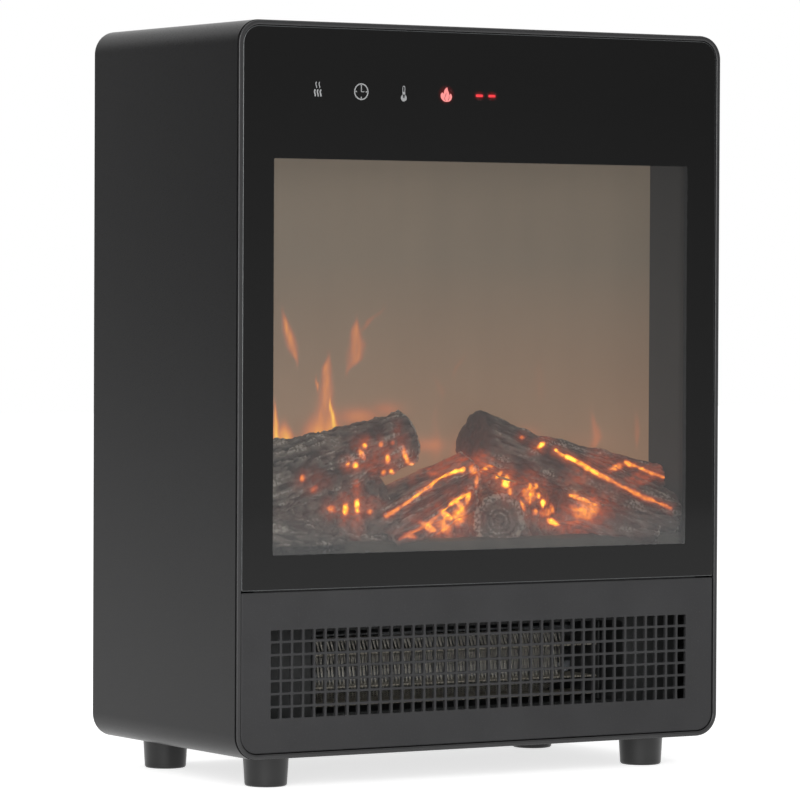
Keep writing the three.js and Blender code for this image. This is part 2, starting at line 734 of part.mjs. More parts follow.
/** Shaded-pole motor: laminated core with a coil on its lower limb, rotor, and two bearing bridges. */
function makeMotor(coreLeft, coreRight) {
  const y0 = blowerY - coreWidth / 2;
  const y1 = blowerY + coreWidth / 2;
  const low = blowerZ - coreBelowShaft;
  const limbTop = low + coilLimb;
  const side = coreSideLimb;
  const core = cutBy(
    solidFrom(box(coreLeft, coreRight, y0, y1, low, blowerZ + coreAboveShaft)),
    box(coreLeft - 1, coreRight + 1, y0 + side, y1 - side, limbTop, limbTop + coilWindowHeight),
    rodX(rotorRadius + rotorGap, coreLeft - 1, coreRight + 1, blowerY, blowerZ, 28),
  );
  add("motor_core", core, laminations);

  const coilHalf = coreWidth / 2 - side - seatGap;
  const coil = cutBy(
    solidFrom(
      box(
        coreLeft - coilEnd,
        coreRight + coilEnd,
        blowerY - coilHalf,
        blowerY + coilHalf,
        low - coilEnd,
        limbTop + coilEnd,
      ),
    ),
    box(
      coreLeft - seatGap,
      coreRight + seatGap,
      y0,
      y1,
      low - seatGap,
      limbTop + seatGap,
    ),
  );
  add("motor_coil", coil, copper);

  const rotor = cutBy(
    solidFrom(rodX(rotorRadius, coreLeft + seatGap, coreRight - seatGap, blowerY, blowerZ, 28)),
    rodX(shaftRadius + shaftClearance, coreLeft - 1, coreRight + 1, blowerY, blowerZ, 16),
  );
  add("motor_rotor", rotor, laminations);

  const legOuter = coreWidth / 2 - 2;
  const legInner = rotorRadius + rotorGap + 4;
  const bridge = (faceX, outward) => {
    const span = (from, to) => [faceX + outward * from, faceX + outward * to].sort((a, b) => a - b);
    const [bar0, bar1] = span(seatGap + bridgeLegLength, seatGap + bridgeLegLength + bridgeThickness);
    const [leg0, leg1] = span(seatGap, seatGap + bridgeLegLength + 1);
    const foot = (side) => {
      const edges = [blowerY + side * legInner, blowerY + side * legOuter].sort((a, b) => a - b);
      return box(leg0, leg1, ...edges, blowerZ - 4, blowerZ + 4);
    };
    const barEdges = [blowerZ - bridgeBarHalf, blowerZ + bridgeBarHalf];
    const bar = box(bar0, bar1, blowerY - legOuter, blowerY + legOuter, ...barEdges);
    const bore = rodX(shaftRadius + shaftClearance, bar0 - 1, bar1 + 1, blowerY, blowerZ, 16);
    return cutBy(joined(bar, foot(-1), foot(1)), bore);
  };
  add("motor_bridge_outer", bridge(coreLeft, -1), zincSteel);
  add("motor_bridge_inner", bridge(coreRight, 1), zincSteel);
}

// ---------------------------------------------------------------- firebox
function makeFirebox() {
  const half = innerHalf - seatGap;
  const rear = coverInner - seatGap - sheet - seatGap;
  const partition = joined(
    box(-half, half, behindSpigot, rear, partitionBottom, partitionTop),
    box(-half, -half + sheet, behindSpigot, rear, partitionBottom - 8, partitionTop),
    box(half - sheet, half, behindSpigot, rear, partitionBottom - 8, partitionTop),
  );
  add("partition_plate", partition, galvanised);

  const outer = fireboxHalf + sheet;
  const post = (x, z) => rodY(boardPostRadius, fireboxBack, boardFront - seatGap, x, z, 10);
  const liner = joined(
    box(
      -outer,
      outer,
      behindLedge,
      fireboxBack + sheet,
      fireboxFloor - sheet,
      fireboxCeiling + sheet,
    ),
    ...boardCorners().map(([x, z]) => post(x, z)),
  );
  const hollow = box(
    -fireboxHalf,
    fireboxHalf,
    behindLedge - 1,
    fireboxBack,
    fireboxFloor,
    fireboxCeiling,
  );
  add("firebox_liner", cutBy(liner, hollow), moulding);

  const screen = box(
    -fireboxHalf + seatGap,
    fireboxHalf - seatGap,
    screenFront,
    screenBack,
    onFireboxFloor,
    fireboxCeiling - seatGap,
  );
  add("flame_screen", screen, screenAcrylic);
}

// Each log: start and end [x, depth behind the front, height above the firebox floor], end radii.
const logs = [
  { from: [-128, 26, 46], to: [-30, 27, 71], radii: [19, 13] },
  { from: [-128, 22, 18], to: [-46, 20, 14], radii: [20, 9] },
  { from: [-58, 22, 32], to: [4, 22, 54], radii: [10, 10] },
  { from: [-46, 15.5, 19], to: [1, 17, 43], radii: [7, 8] },
  { from: [16, 12, 29], to: [22, 37, 33], radii: [14, 14] },
  { from: [8, 27, 71], to: [128, 20, 29], radii: [14, 11] },
  { from: [48, 32, 65], to: [128, 32, 47], radii: [7, 7.5] },
  { from: [50, 15, 37], to: [111, 14, 18], radii: [8, 8] },
];
const logLayoutHalf = 126.5; // half-width that the logs' x places are drawn to
const ashHeight = 15;
const ashFrontInset = 9;

/** One moulded piece: an ash bed with the logs standing out of it, hollow underneath for its lights. */
function makeLogSet() {
  const y0 = front + ashFrontInset;
  const y1 = screenFront - seatGap;
  const half = fireboxHalf - seatGap;
  const ash = box(-half, half, y0, y1, onFireboxFloor, fireboxFloor + ashHeight);
  let set = solidFrom(ash);
  for (const { from, to, radii } of logs) {
    const spread = fireboxHalf / logLayoutHalf;
    const place = ([x, depth, height]) =>
      new THREE.Vector3(x * spread, front + depth, fireboxFloor + height);
    const start = place(from);
    const end = place(to);
    const along = end.clone().sub(start);
    const log = new THREE.CylinderGeometry(radii[1], radii[0], along.length(), 12);
    log.translate(0, along.length() / 2, 0);
    const turn = new THREE.Quaternion().setFromUnitVectors(new THREE.Vector3(0, 1, 0), along.normalize());
    log.applyQuaternion(turn).translate(start.x, start.y, start.z);
    set = set.add(solidFrom(log));
  }
  const room = box(-half, half, y0, y1, onFireboxFloor, fireboxCeiling);
  const lightWell = box(-half + 20, half - 20, y0 + 5, y1 - 5, onFireboxFloor - 1, onFireboxFloor + 8);
  add("log_set", cutBy(set.intersect(solidFrom(room)), lightWell), logResin);
  const middle = (y0 + y1) / 2;
  makeLightStrip("ember_light_board", -half + 24, half - 24, middle - 5, middle + 5);
}

/** A narrow circuit board with a row of LEDs. */
function makeLightStrip(name, x0, x1, y0, y1) {
  const top = onFireboxFloor + boardThickness;
  const count = Math.floor((x1 - x0 - 10) / ledPitch) + 1;
  const start = (x0 + x1 - (count - 1) * ledPitch) / 2;
  const middle = (y0 + y1) / 2;
  const half = ledSize / 2;
  const leds = [];
  for (let i = 0; i < count; i++) {
    const x = start + i * ledPitch;
    leds.push(box(x - half, x + half, middle - half, middle + half, top - 0.5, top + ledHeight));
  }
  add(name, joined(box(x0, x1, y0, y1, onFireboxFloor, top), ...leds), boardGreen);
}

// ---------------------------------------------------------------- flame projector
function makeProjector() {
  const half = fireboxHalf - seatGap;
  const slit = (x, low, high, width, lean) => {
    const shape = new THREE.Shape();
    shape.moveTo(x - width / 2, low);
    shape.quadraticCurveTo(x - width, (low + high) / 2, x + lean, high);
    shape.quadraticCurveTo(x + width / 2 + lean / 2, (low + high) / 2, x + width / 2, low);
    shape.closePath();
    return slab(shape, stencilFront - 1, stencilBack + 1);
  };
  const slits = [];
  const slitCount = Math.floor((2 * half - 24) / stencilSlitPitch);
  const slitLow = fireboxFloor + stencilSlitRise;
  for (let i = 0; i < slitCount; i++) {
    const x = (i - (slitCount - 1) / 2) * stencilSlitPitch;
    const tall = 52 + 26 * Math.sin(1.9 * i + 0.6);
    const lean = 3 * Math.cos(2.3 * i);
    slits.push(slit(x, slitLow, slitLow + tall, stencilSlitWidth, lean));
  }
  const plate = box(-half, half, stencilFront, stencilBack, onFireboxFloor, onFireboxFloor + stencilHeight);
  add("flame_stencil", cutBy(solidFrom(plate), ...slits), galvanised);

  const motorRight = fireboxHalf - 6;
  const motorLeft = motorRight - spindleMotorLength;
  const bracketRight = motorLeft - seatGap;
  const bracketLeft = -fireboxHalf + 14;
  const bracketTop = spindleZ + bracketRise;
  const edges = [spindleY - bracketHalfDepth, spindleY + bracketHalfDepth];
  const bracket = (x, footX0) => {
    const upright = box(x, x + sheet, ...edges, onFireboxFloor, bracketTop);
    const foot = box(footX0, footX0 + bracketFoot, ...edges, onFireboxFloor, onFireboxFloor + sheet);
    const hole = rodX(spindleBushRadius + seatGap, x - 1, x + 2, spindleY, spindleZ, 14);
    return cutBy(joined(upright, foot), hole);
  };
  const rightX = bracketRight - sheet;
  add("spindle_bracket_right", bracket(rightX, rightX), galvanised);
  add("spindle_bracket_left", bracket(bracketLeft, bracketLeft + sheet - bracketFoot), galvanised);

  const bore = spindleRadius + seatGap;
  const bushProfile = [
    [bore, 0],
    [spindleBushRadius, 0],
    [spindleBushRadius, 3],
    [spindleBushRadius + 2, 3],
    [spindleBushRadius + 2, 4.5],
    [bore, 4.5],
    [bore, 0],
  ];
  const bushX = bracketLeft + sheet + seatGap - 3;
  const bush = turned(bushProfile, 14).rotateZ(-Math.PI / 2);
  add("spindle_bush", bush.translate(bushX, spindleY, spindleZ), nylon);

  const socketEnd = motorLeft + spindleSocketDepth;
  const motor = cutBy(
    solidFrom(rodX(spindleMotorRadius, motorLeft, motorRight, spindleY, spindleZ, 28)),
    rodX(bore, motorLeft - 1, socketEnd, spindleY, spindleZ, 12),
  );
  add("spindle_motor", motor, zincSteel);

  const spindle = solidFrom(rodX(spindleRadius, bushX - 1, socketEnd - 1, spindleY, spindleZ, 12));
  const flags = [];
  const first = bushX + 16;
  const count = Math.floor((rightX - 8 - first) / flagPitch) + 1;
  for (let i = 0; i < count; i++) {
    const x = first + i * flagPitch;
    for (const turnDegrees of [0, 180]) {
      const flag = box(x - flagWidth / 2, x + flagWidth / 2, 0, flagReach, -0.4, 0.4);
      flag.rotateX(THREE.MathUtils.degToRad(turnDegrees + 47 * i));
      flags.push(bareOf(flag.translate(0, spindleY, spindleZ)));
    }
  }
  const flagged = flags.reduce((solid, flag) => solid.add(solidFrom(flag)), spindle);
  add("flame_spindle", flagged, foil);
  makeLightStrip("flame_light_board", bracketLeft + 12, rightX - 8, spindleY - 6, spindleY + 6);
}

// ---------------------------------------------------------------- electronics
function boardCorners() {
  const heights = [boardLow + boardPostInset, boardHigh - boardPostInset];
  return [-1, 1].flatMap((side) => heights.map((z) => [side * (boardHalf - boardPostInset), z]));
}

// What stands on the main board: left edge, height above its lower edge, width, height and depth.
const boardParts = {
  heatRelay: [-50, 20, 20, 16, 16],
  fanRelay: [-24, 20, 20, 16, 16],
  transformer: [8, 14, 32, 28, 20],
  controller: [-40, 56, 20, 14, 4],
  connector: [10, 62, 32, 10, 9],
};

function makeElectronics() {
  const boardBack = boardFront + boardThickness;
  const onBoard = ([x, rise, wide, tall, depth]) =>
    box(x, x + wide, boardBack - 0.2, boardBack + depth, boardLow + rise, boardLow + rise + tall);
  const board = joined(
    box(-boardHalf, boardHalf, boardFront, boardBack, boardLow, boardHigh),
    ...Object.values(boardParts).map(onBoard),
  );
  add("main_board", board, boardGreen);

  const keyZ = bodyTop - keyHeightBelowTop;
  const touchFront = ledgeBack + seatGap;
  const springs = [];
  for (let i = 0; i < keyCount; i++) {
    const x = firstKeyX + i * keyPitch;
    const spring = cutBy(
      solidFrom(rodY(springRadius, glassBack + seatGap, touchFront + 0.2, x, keyZ, 12)),
      rodY(springRadius - 1, glassBack, touchFront, x, keyZ, 12),
    );
    springs.push(spring);
  }
  const boardLeft = firstKeyX - 14;
  const boardRight = firstKeyX + (keyCount + 1) * keyPitch;
  const touchBoard = solidFrom(
    box(boardLeft, boardRight, touchFront, touchFront + boardThickness, windowTop + 14, keyZ + 16),
  );
  add("touch_board", springs.reduce((solid, spring) => solid.add(spring), touchBoard), boardGreen);
  const displayX = firstKeyX + keyCount * keyPitch + displayOffset;
  const [wide, tall] = displayHalf;
  const display = box(
    displayX - wide,
    displayX + wide,
    glassBack + seatGap,
    touchFront - seatGap,
    keyZ - tall,
    keyZ + tall,
  );
  add("led_display", display, displayBlack);
  makeSwitchBayPieces();
}

/** Mains terminals and tip-over switch, on the floor beside the blower. */
function makeSwitchBayPieces() {
  const onFloor = innerFloor + seatGap;
  const bayX = innerHalf - cornerRadius - 9.5;
  const terminalBase = box(bayX - 10, bayX + 10, blowerY + 14, blowerY + 32, onFloor, onFloor + 10);
  const posts = [-6.5, 0, 6.5].map((dx) =>
    box(bayX + dx - 2.5, bayX + dx + 2.5, blowerY + 15, blowerY + 31, onFloor + 9, onFloor + 15),
  );
  add("terminal_block", joined(terminalBase, ...posts), nylon);
  const tilt = joined(
    box(bayX - 7, bayX + 7, blowerY - 22, blowerY - 4, onFloor, onFloor + 20),
    box(bayX - 10, bayX + 10, blowerY - 22, blowerY - 4, onFloor, onFloor + 2),
  );
  add("tilt_switch", tilt, blackPlastic);
}

// ---------------------------------------------------------------- rear switch and cord inlet
function makeRearFittings() {
  const centred = ([wide, tall], y0, y1) =>
    box(switchX - wide / 2, switchX + wide / 2, y0, y1, switchZ - tall / 2, switchZ + tall / 2);
  const bezelFront = coverOuter + seatGap;
  const bezelBack = bezelFront + switchBezelThickness;
  const pivotY = coverOuter - 3.3;
  const housing = cutBy(
    joined(
      centred(switchBezel, bezelFront, bezelBack),
      centred(switchBody, coverInner - switchBodyDepth, bezelFront + 0.5),
    ),
    centred(switchCavity, pivotY - 6, bezelBack + 1),
  );
  add("switch_body", housing, blackPlastic);

  const [keyWide, keyTall] = switchKey;
  const profile = new THREE.Shape(
    [
      [5.9, keyTall / 2],
      [4.9, 0],
      [5.9, -keyTall / 2],
      [0, -keyTall / 2],
      [-3, -keyTall / 3],
      [-3, keyTall / 3],
      [0, keyTall / 2],
    ].map(([y, z]) => new THREE.Vector2(y, z)).reverse(),
  );
  const key = extrusionX(profile, -keyWide / 2, keyWide / 2);
  key.rotateX(THREE.MathUtils.degToRad(switchTilt)).translate(switchX, pivotY, switchZ);
  add("switch_key", key, blackPlastic);

  const bore = glandBore;
  const glandProfile = [
    [bore, -5.5],
    [glandBarrelRadius + 1.5, -5.5],
    [glandBarrelRadius + 1.5, -sheet - 2 * seatGap],
    [glandBarrelRadius, -sheet - 2 * seatGap],
    [glandBarrelRadius, 0],
    [glandBarrelRadius + 3, 0],
    [glandBarrelRadius + 2, 2.5],
    [bore + 1.2, 4.2],
    [bore, 4.2],
    [bore, -5.5],
  ];
  const gland = turned(glandProfile, 20).translate(glandX, coverOuter + seatGap, glandZ);
  add("cord_gland", gland, blackPlastic);
}

makeCase();
makeRearCover();
makeFeet();
makeFrontFrame();
makeGlass();
makeGrille();
makeBaffle();
makeHeater();
makeBlower();
makeFirebox();
makeLogSet();
makeProjector();
makeElectronics();
makeRearFittings();

export default part;
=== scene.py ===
"""Looks of the electric fireplace heater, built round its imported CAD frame.

Metres, +X to the viewer's right, +Y to the rear, +Z up, front towards -Y. Sizes are written in
millimetres times MM, and places come from the boxes of the frame's own nodes.
"""
import math

import bmesh
import bpy
import numpy as np
from mathutils import Matrix, Vector


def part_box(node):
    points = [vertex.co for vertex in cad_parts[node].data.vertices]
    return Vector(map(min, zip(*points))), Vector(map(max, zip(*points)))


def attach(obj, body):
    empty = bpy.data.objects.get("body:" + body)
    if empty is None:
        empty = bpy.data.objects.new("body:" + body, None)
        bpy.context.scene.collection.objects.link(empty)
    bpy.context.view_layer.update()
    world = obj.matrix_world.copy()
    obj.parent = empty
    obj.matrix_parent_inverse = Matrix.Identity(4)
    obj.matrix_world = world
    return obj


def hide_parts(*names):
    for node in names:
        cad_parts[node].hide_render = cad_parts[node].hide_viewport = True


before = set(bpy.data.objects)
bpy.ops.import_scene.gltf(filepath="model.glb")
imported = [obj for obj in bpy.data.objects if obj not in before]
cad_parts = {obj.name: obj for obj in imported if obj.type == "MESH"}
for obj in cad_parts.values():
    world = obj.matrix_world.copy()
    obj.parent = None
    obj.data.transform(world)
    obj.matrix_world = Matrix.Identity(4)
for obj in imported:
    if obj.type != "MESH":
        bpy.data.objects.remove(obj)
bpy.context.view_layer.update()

MM = 0.001

# ---------------------------------------------------------------- places read from the frame
case_low, case_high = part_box("case_shell")
bezel_low, bezel_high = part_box("front_frame")
glass_low, glass_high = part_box("front_glass")
grille_low, grille_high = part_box("grille_panel")
screen_low, screen_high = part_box("flame_screen")
liner_low, liner_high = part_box("firebox_liner")
logs_low, logs_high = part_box("log_set")
cover_low, cover_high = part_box("rear_cover")

SHEET = 1.0 * MM
CORNER = 12.0 * MM
PANEL_INSET = 2.9 * MM
PANEL_CORNER = CORNER - PANEL_INSET
TIGHT_CORNER = 0.8 * MM
CORNER_STEPS = 24
FRONT_Y = bezel_low.y
BODY_BOTTOM = case_low.z
BODY_TOP = case_high.z
HALF_WIDTH = case_high.x
FIREBOX_FLOOR = liner_low.z + SHEET
WINDOW_HALF = 122.2 * MM
WINDOW_BOTTOM = 114.8 * MM
WINDOW_TOP = 308.3 * MM
KEY_Z = BODY_TOP - 34 * MM
KEY_X = [-97.8 * MM, -73.0 * MM, -48.5 * MM, -23.8 * MM]
GRILLE_PITCH = 6.336 * MM
GRILLE_HOLE = 5.1 * MM
GRILLE_COLUMNS, GRILLE_ROWS = 39, 7
WIRE_PITCH = 2.05 * MM
CAMERA_PLACE = (-1.2824, -2.0865, 0.2467)
DASH_X = [-4.3 * MM, 3.1 * MM]
GRILLE_FIRST_Z = grille_low.z + 16.9 * MM + GRILLE_HOLE / 2


# ---------------------------------------------------------------- noise, the same on every run
def hashed(ix, iy, iz, seed):
    """A number from 0 to 1 for each cell of a lattice."""
    h = ix * 374761393 + iy * 668265263 + iz * 2246822519 + seed * 3266489917
    h = (h ^ (h >> 13)) & 0xFFFFFFFF
    h = (h * 1274126177) & 0xFFFFFFFF
    h = (h ^ (h >> 16)) & 0xFFFF
    return h / 65535.0


def smooth_noise(points, seed):
    """Value noise from 0 to 1 at (n, 3) points."""
    cell = np.floor(points).astype(np.int64)
    f = points - cell
    f = f * f * (3 - 2 * f)
    total = np.zeros(len(points))
    for dx in (0, 1):
        for dy in (0, 1):
            for dz in (0, 1):
                weight = (
                    (f[:, 0] if dx else 1 - f[:, 0])
                    * (f[:, 1] if dy else 1 - f[:, 1])
                    * (f[:, 2] if dz else 1 - f[:, 2])
                )
                total += weight * hashed(cell[:, 0] + dx, cell[:, 1] + dy, cell[:, 2] + dz, seed)
    return total


def fractal(points, octaves, seed, gain=0.5):
    """Layers of smooth_noise, from -1 to 1."""
    total, weight, size = np.zeros(len(points)), 1.0, 0.0
    for k in range(octaves):
        total += weight * (2 * smooth_noise(points * 2.03**k, seed + 17 * k) - 1)
        size += weight
        weight *= gain
    return total / size


def cracked(points, seed):
    """0 on the borders of irregular cells and rising into them."""
    cell = np.floor(points).astype(np.int64)
    nearest = np.full(len(points), 9.0)
    second = np.full(len(points), 9.0)
    for dx in (-1, 0, 1):
        for dy in (-1, 0, 1):
            for dz in (-1, 0, 1):
                c = cell + np.array([dx, dy, dz])
                spot = np.stack(
                    [hashed(c[:, 0], c[:, 1], c[:, 2], seed + k) for k in range(3)], axis=1
                )
                d = np.linalg.norm(c + spot - points, axis=1)
                second = np.minimum(second, np.maximum(nearest, d))
                nearest = np.minimum(nearest, d)
    return second - nearest


def ramp(value, low, high):
    """Smooth step from 0 at low to 1 at high."""
    t = np.clip((value - low) / (high - low), 0, 1)
    return t * t * (3 - 2 * t)


# ---------------------------------------------------------------- node materials
def new_material(name):
    material = bpy.data.materials.new(name)
    material.use_nodes = True
    tree = material.node_tree
    tree.nodes.clear()
    output = tree.nodes.new("ShaderNodeOutputMaterial")
    return material, tree, output


def node(tree, kind, inputs=None, **settings):
    """A shader node with its settings and its inputs, which are values or other nodes' sockets."""
    made = tree.nodes.new(kind)
    for key, value in settings.items():
        setattr(made, key, value)
    for key, value in (inputs or {}).items():
        if isinstance(value, bpy.types.NodeSocket):
            tree.links.new(value, made.inputs[key])
        else:
            made.inputs[key].default_value = value
    return made


def blend_colours(tree, share, first, second):
    mix = node(tree, "ShaderNodeMix", data_type="RGBA", clamp_factor=True)
    for socket, value in (("Factor", share), ("A", first), ("B", second)):
        target = next(s for s in mix.inputs if s.name == socket and s.enabled)
        if isinstance(value, bpy.types.NodeSocket):
            tree.links.new(value, target)
        else:
            target.default_value = value
    return next(s for s in mix.outputs if s.enabled)


def mapped(tree, value, low, high, new_low, new_high):
    made = node(
        tree,
        "ShaderNodeMapRange",
        {"From Min": low, "From Max": high, "To Min": new_low, "To Max": new_high},
    )
    tree.links.new(value, made.inputs["Value"])
    return made.outputs["Result"]


def maths(tree, operation, first, second):
    """The result of one operation on two values or sockets."""
    return node(tree, "ShaderNodeMath", {0: first, 1: second}, operation=operation).outputs[0]


def mixed_shaders(tree, share, first, second):
    """The first shader where share is 0 and the second where it is 1."""
    return node(tree, "ShaderNodeMixShader", {0: share, 1: first, 2: second}).outputs["Shader"]


def uneven_share(tree, scale, detail=2.0, stretch=(1, 1, 1)):
    """A cloudy value from 0 to 1."""
    return mapped(tree, noise_value(tree, scale, detail, stretch), 0.3, 0.7, 0, 1)


def noise_value(tree, scale, detail=3.0, stretch=(1, 1, 1), distortion=0.0):
    place = node(tree, "ShaderNodeTexCoord").outputs["Object"]
    turned = node(tree, "ShaderNodeMapping", {"Vector": place, "Scale": stretch})
    made = node(
        tree,
        "ShaderNodeTexNoise",
        {"Vector": turned.outputs["Vector"], "Scale": scale, "Detail": detail, "Distortion": distortion},
    )
    return made.outputs["Fac"]


def linear(rgb):
    """A colour as seen on a screen, 0 to 255, as linear light with alpha."""
    shares = [c / 255 for c in rgb]
    return [c / 12.92 if c <= 0.04045 else ((c + 0.055) / 1.055) ** 2.4 for c in shares] + [1.0]


def surface(
    name,
    rgb,
    roughness=0.5,
    metallic=0.0,
    specular=0.5,
    mottle=0.1,
    mottle_scale=60.0,
    grain=0.0,
    grain_scale=1500.0,
    stretch=(1, 1, 1),
    speckle=0.0,
    rough_spread=0.06,
):
    """A solid material with cloudy colour variation, a fine grain in relief and uneven gloss."""
    material, tree, output = new_material(name)
    base = linear(rgb)
    dark = [c * (1 - mottle) for c in base[:3]] + [1]
    light = [c * (1 + mottle) for c in base[:3]] + [1]
    colour = blend_colours(tree, uneven_share(tree, mottle_scale, 4, stretch), dark, light)
    fine = noise_value(tree, grain_scale, 2, stretch)
    if speckle:
        bright = [min(1, c * (1 + speckle) + 0.01 * speckle) for c in base[:3]] + [1]
        colour = blend_colours(tree, mapped(tree, fine, 0.6, 0.75, 0, 1), colour, bright)
    shader = node(
        tree,
        "ShaderNodeBsdfPrincipled",
        {"Base Color": colour, "Metallic": metallic, "Specular IOR Level": specular},
    )
    uneven = mapped(tree, fine, 0.25, 0.75, roughness - rough_spread, roughness + rough_spread)
    tree.links.new(uneven, shader.inputs["Roughness"])
    if grain:
        bump = node(tree, "ShaderNodeBump", {"Height": fine, "Strength": 1.0, "Distance": grain})
        tree.links.new(bump.outputs["Normal"], shader.inputs["Normal"])
    tree.links.new(shader.outputs["BSDF"], output.inputs["Surface"])
    return material


case_paint = surface(
    "satin_case_paint", (13, 13, 14), 0.3, specular=0.19, mottle=0.06, grain=0.01 * MM, grain_scale=2400
)
bezel_plastic = surface(
    "bezel_plastic", (36, 36, 37), 0.32, specular=0.5, mottle=0.05, grain=0.004 * MM, grain_scale=3000
)
grille_paint = surface(
    "textured_grille_paint",
    (52, 52, 53),
    0.44,
    specular=0.2,
    mottle=0.1,
    mottle_scale=35,
    grain=0.03 * MM,
    grain_scale=1000,
    speckle=0.3,
)
foot_rubber = surface(
    "foot_rubber", (28, 28, 28), 0.33, specular=0.45, mottle=0.08, grain=0.01 * MM, grain_scale=1800
)
switch_plastic = surface(
    "switch_plastic", (22, 22, 23), 0.35, mottle=0.05, grain=0.006 * MM, grain_scale=2200
)
screw_steel = surface("blackened_screw", (70, 72, 75), 0.36, metallic=0.9, mottle=0.15, mottle_scale=400)
zinc_steel = surface("zinc_steel", (150, 152, 155), 0.35, metallic=0.9, mottle=0.12, mottle_scale=90)
galvanised = surface(
    "galvanised_sheet", (96, 98, 99), 0.5, metallic=0.75, mottle=0.2, mottle_scale=130, rough_spread=0.1
)
mica_board = surface("mica_board", (146, 141, 130), 0.6, mottle=0.2, mottle_scale=300, grain=0.05 * MM)
wire_metal = surface("heating_wire", (176, 172, 163), 0.3, metallic=0.35, mottle=0.25, mottle_scale=220)
liner_plastic = surface(
    "firebox_liner_plastic", (52, 52, 52), 0.7, specular=0.25, mottle=0.08, grain=0.03 * MM, grain_scale=900
)
board_green = surface("circuit_board", (28, 86, 54), 0.45, mottle=0.25, mottle_scale=500)
copper_winding = surface(
    "copper_winding", (170, 98, 50), 0.32, metallic=0.8, mottle=0.3, mottle_scale=300, stretch=(1, 1, 8)
)
motor_steel = surface(
    "motor_laminations", (116, 119, 122), 0.42, metallic=0.8, mottle=0.35, mottle_scale=250, stretch=(9, 1, 1)
)
display_black = surface("display_black", (14, 14, 15), 0.2, mottle=0.1)
reflector_foil = surface("reflector_foil", (205, 208, 210), 0.16, metallic=0.95, mottle=0.08)
nylon = surface("natural_nylon", (214, 210, 200), 0.5, mottle=0.05, grain=0.01 * MM)
glass_edge = surface("ground_glass_edge", (74, 76, 77), 0.25, specular=0.6, mottle=0.08)
# Painted shade: a sheet darker than the galvanised steel it stands for, given to the baffle and heater end plates
# deep behind the grille so that they read as dark as the shade there.
recess_shade_sheet = surface(
    "shade_darkened_sheet", (56, 57, 57), 0.5, metallic=0.3, specular=0.3, mottle=0.2, mottle_scale=130
)
icon_print = surface("icon_print", (150, 151, 152), 0.5, mottle=0.08, mottle_scale=900)


def lit(name, rgb, strength, base=(20, 20, 20)):
    """A lamp or lit print: glowing colour with slight unevenness."""
    material, tree, output = new_material(name)
    colour = linear(rgb)
    dim = [c * 0.8 for c in colour[:3]] + [1]
    glow = blend_colours(tree, uneven_share(tree, 900), dim, colour)
    shader = node(
        tree,
        "ShaderNodeBsdfPrincipled",
        {"Base Color": linear(base), "Roughness": 0.4, "Emission Color": glow, "Emission Strength": strength},
    )
    tree.links.new(shader.outputs["BSDF"], output.inputs["Surface"])
    return material


icon_lit = lit("icon_lit", (255, 150, 146), 0.95, (120, 60, 60))
icon_halo = lit("icon_halo", (120, 10, 14), 0.9)
digit_lit = lit("digit_lit", (255, 52, 62), 1.1, (60, 10, 10))


def halo_glow():
    """Faint red glow that leaks round a lit print and fades outwards with 'halo'."""
    material, tree, output = new_material("halo_glow")
    uneven = mapped(tree, noise_value(tree, 500, 2), 0.3, 0.7, 0.75, 1.0)
    share = maths(tree, "MULTIPLY", mapped(tree, attribute(tree, "halo"), 0, 1, 0, 0.75), uneven)
    clear = node(tree, "ShaderNodeBsdfTransparent", {"Color": (1, 1, 1, 1)})
    shader = node(
        tree,
        "ShaderNodeBsdfPrincipled",
        {"Base Color": linear((20, 6, 6)), "Emission Color": linear((150, 8, 14)), "Emission Strength": 1.0},
    )
    shown = mixed_shaders(tree, share, clear.outputs["BSDF"], shader.outputs["BSDF"])
    tree.links.new(shown, output.inputs["Surface"])
    return material


def print_black():
    """Black ceramic print seen through polished glass."""
    return surface(
        "glass_print", (10, 10, 10), 0.06, specular=0.26, mottle=0.05, mottle_scale=12, rough_spread=0.01
    )


def window_glass(name, outer):
    """Smoked glass: see-through by tint. The outer face mirrors more towards the edge of view."""
    material, tree, output = new_material(name)
    tint = linear((245, 243, 240))
    veil = blend_colours(tree, uneven_share(tree, 14), [c * 0.98 for c in tint[:3]] + [1], tint)
    clear = node(tree, "ShaderNodeBsdfTransparent", {"Color": veil})
    mirror = node(tree, "ShaderNodeBsdfGlossy", {"Color": (1, 1, 1, 1), "Roughness": 0.04})
    share = node(tree, "ShaderNodeFresnel", {"IOR": 1.66}).outputs["Fac"] if outer else 0.02
    shown = mixed_shaders(tree, share, clear.outputs["BSDF"], mirror.outputs["BSDF"])
    tree.links.new(shown, output.inputs["Surface"])
    return material


def fire_colours(tree, heat):
    """Glow colour of embers and flames: dark red, orange, then yellow at the hottest."""
    stops = node(tree, "ShaderNodeValToRGB", {"Fac": heat})
    points = stops.color_ramp.elements
    points[0].position, points[0].color = 0.0, linear((140, 44, 18))
    points[1].position, points[1].color = 1.0, linear((255, 222, 80))
    for place, rgb in ((0.3, (206, 84, 30)), (0.55, (240, 134, 36)), (0.78, (255, 186, 40))):
        stop = points.new(place)
        stop.color = linear(rgb)
    return stops.outputs["Color"]


def attribute(tree, name):
    return node(tree, "ShaderNodeAttribute", attribute_name=name).outputs["Fac"]


EMBER_POWER = 2.2


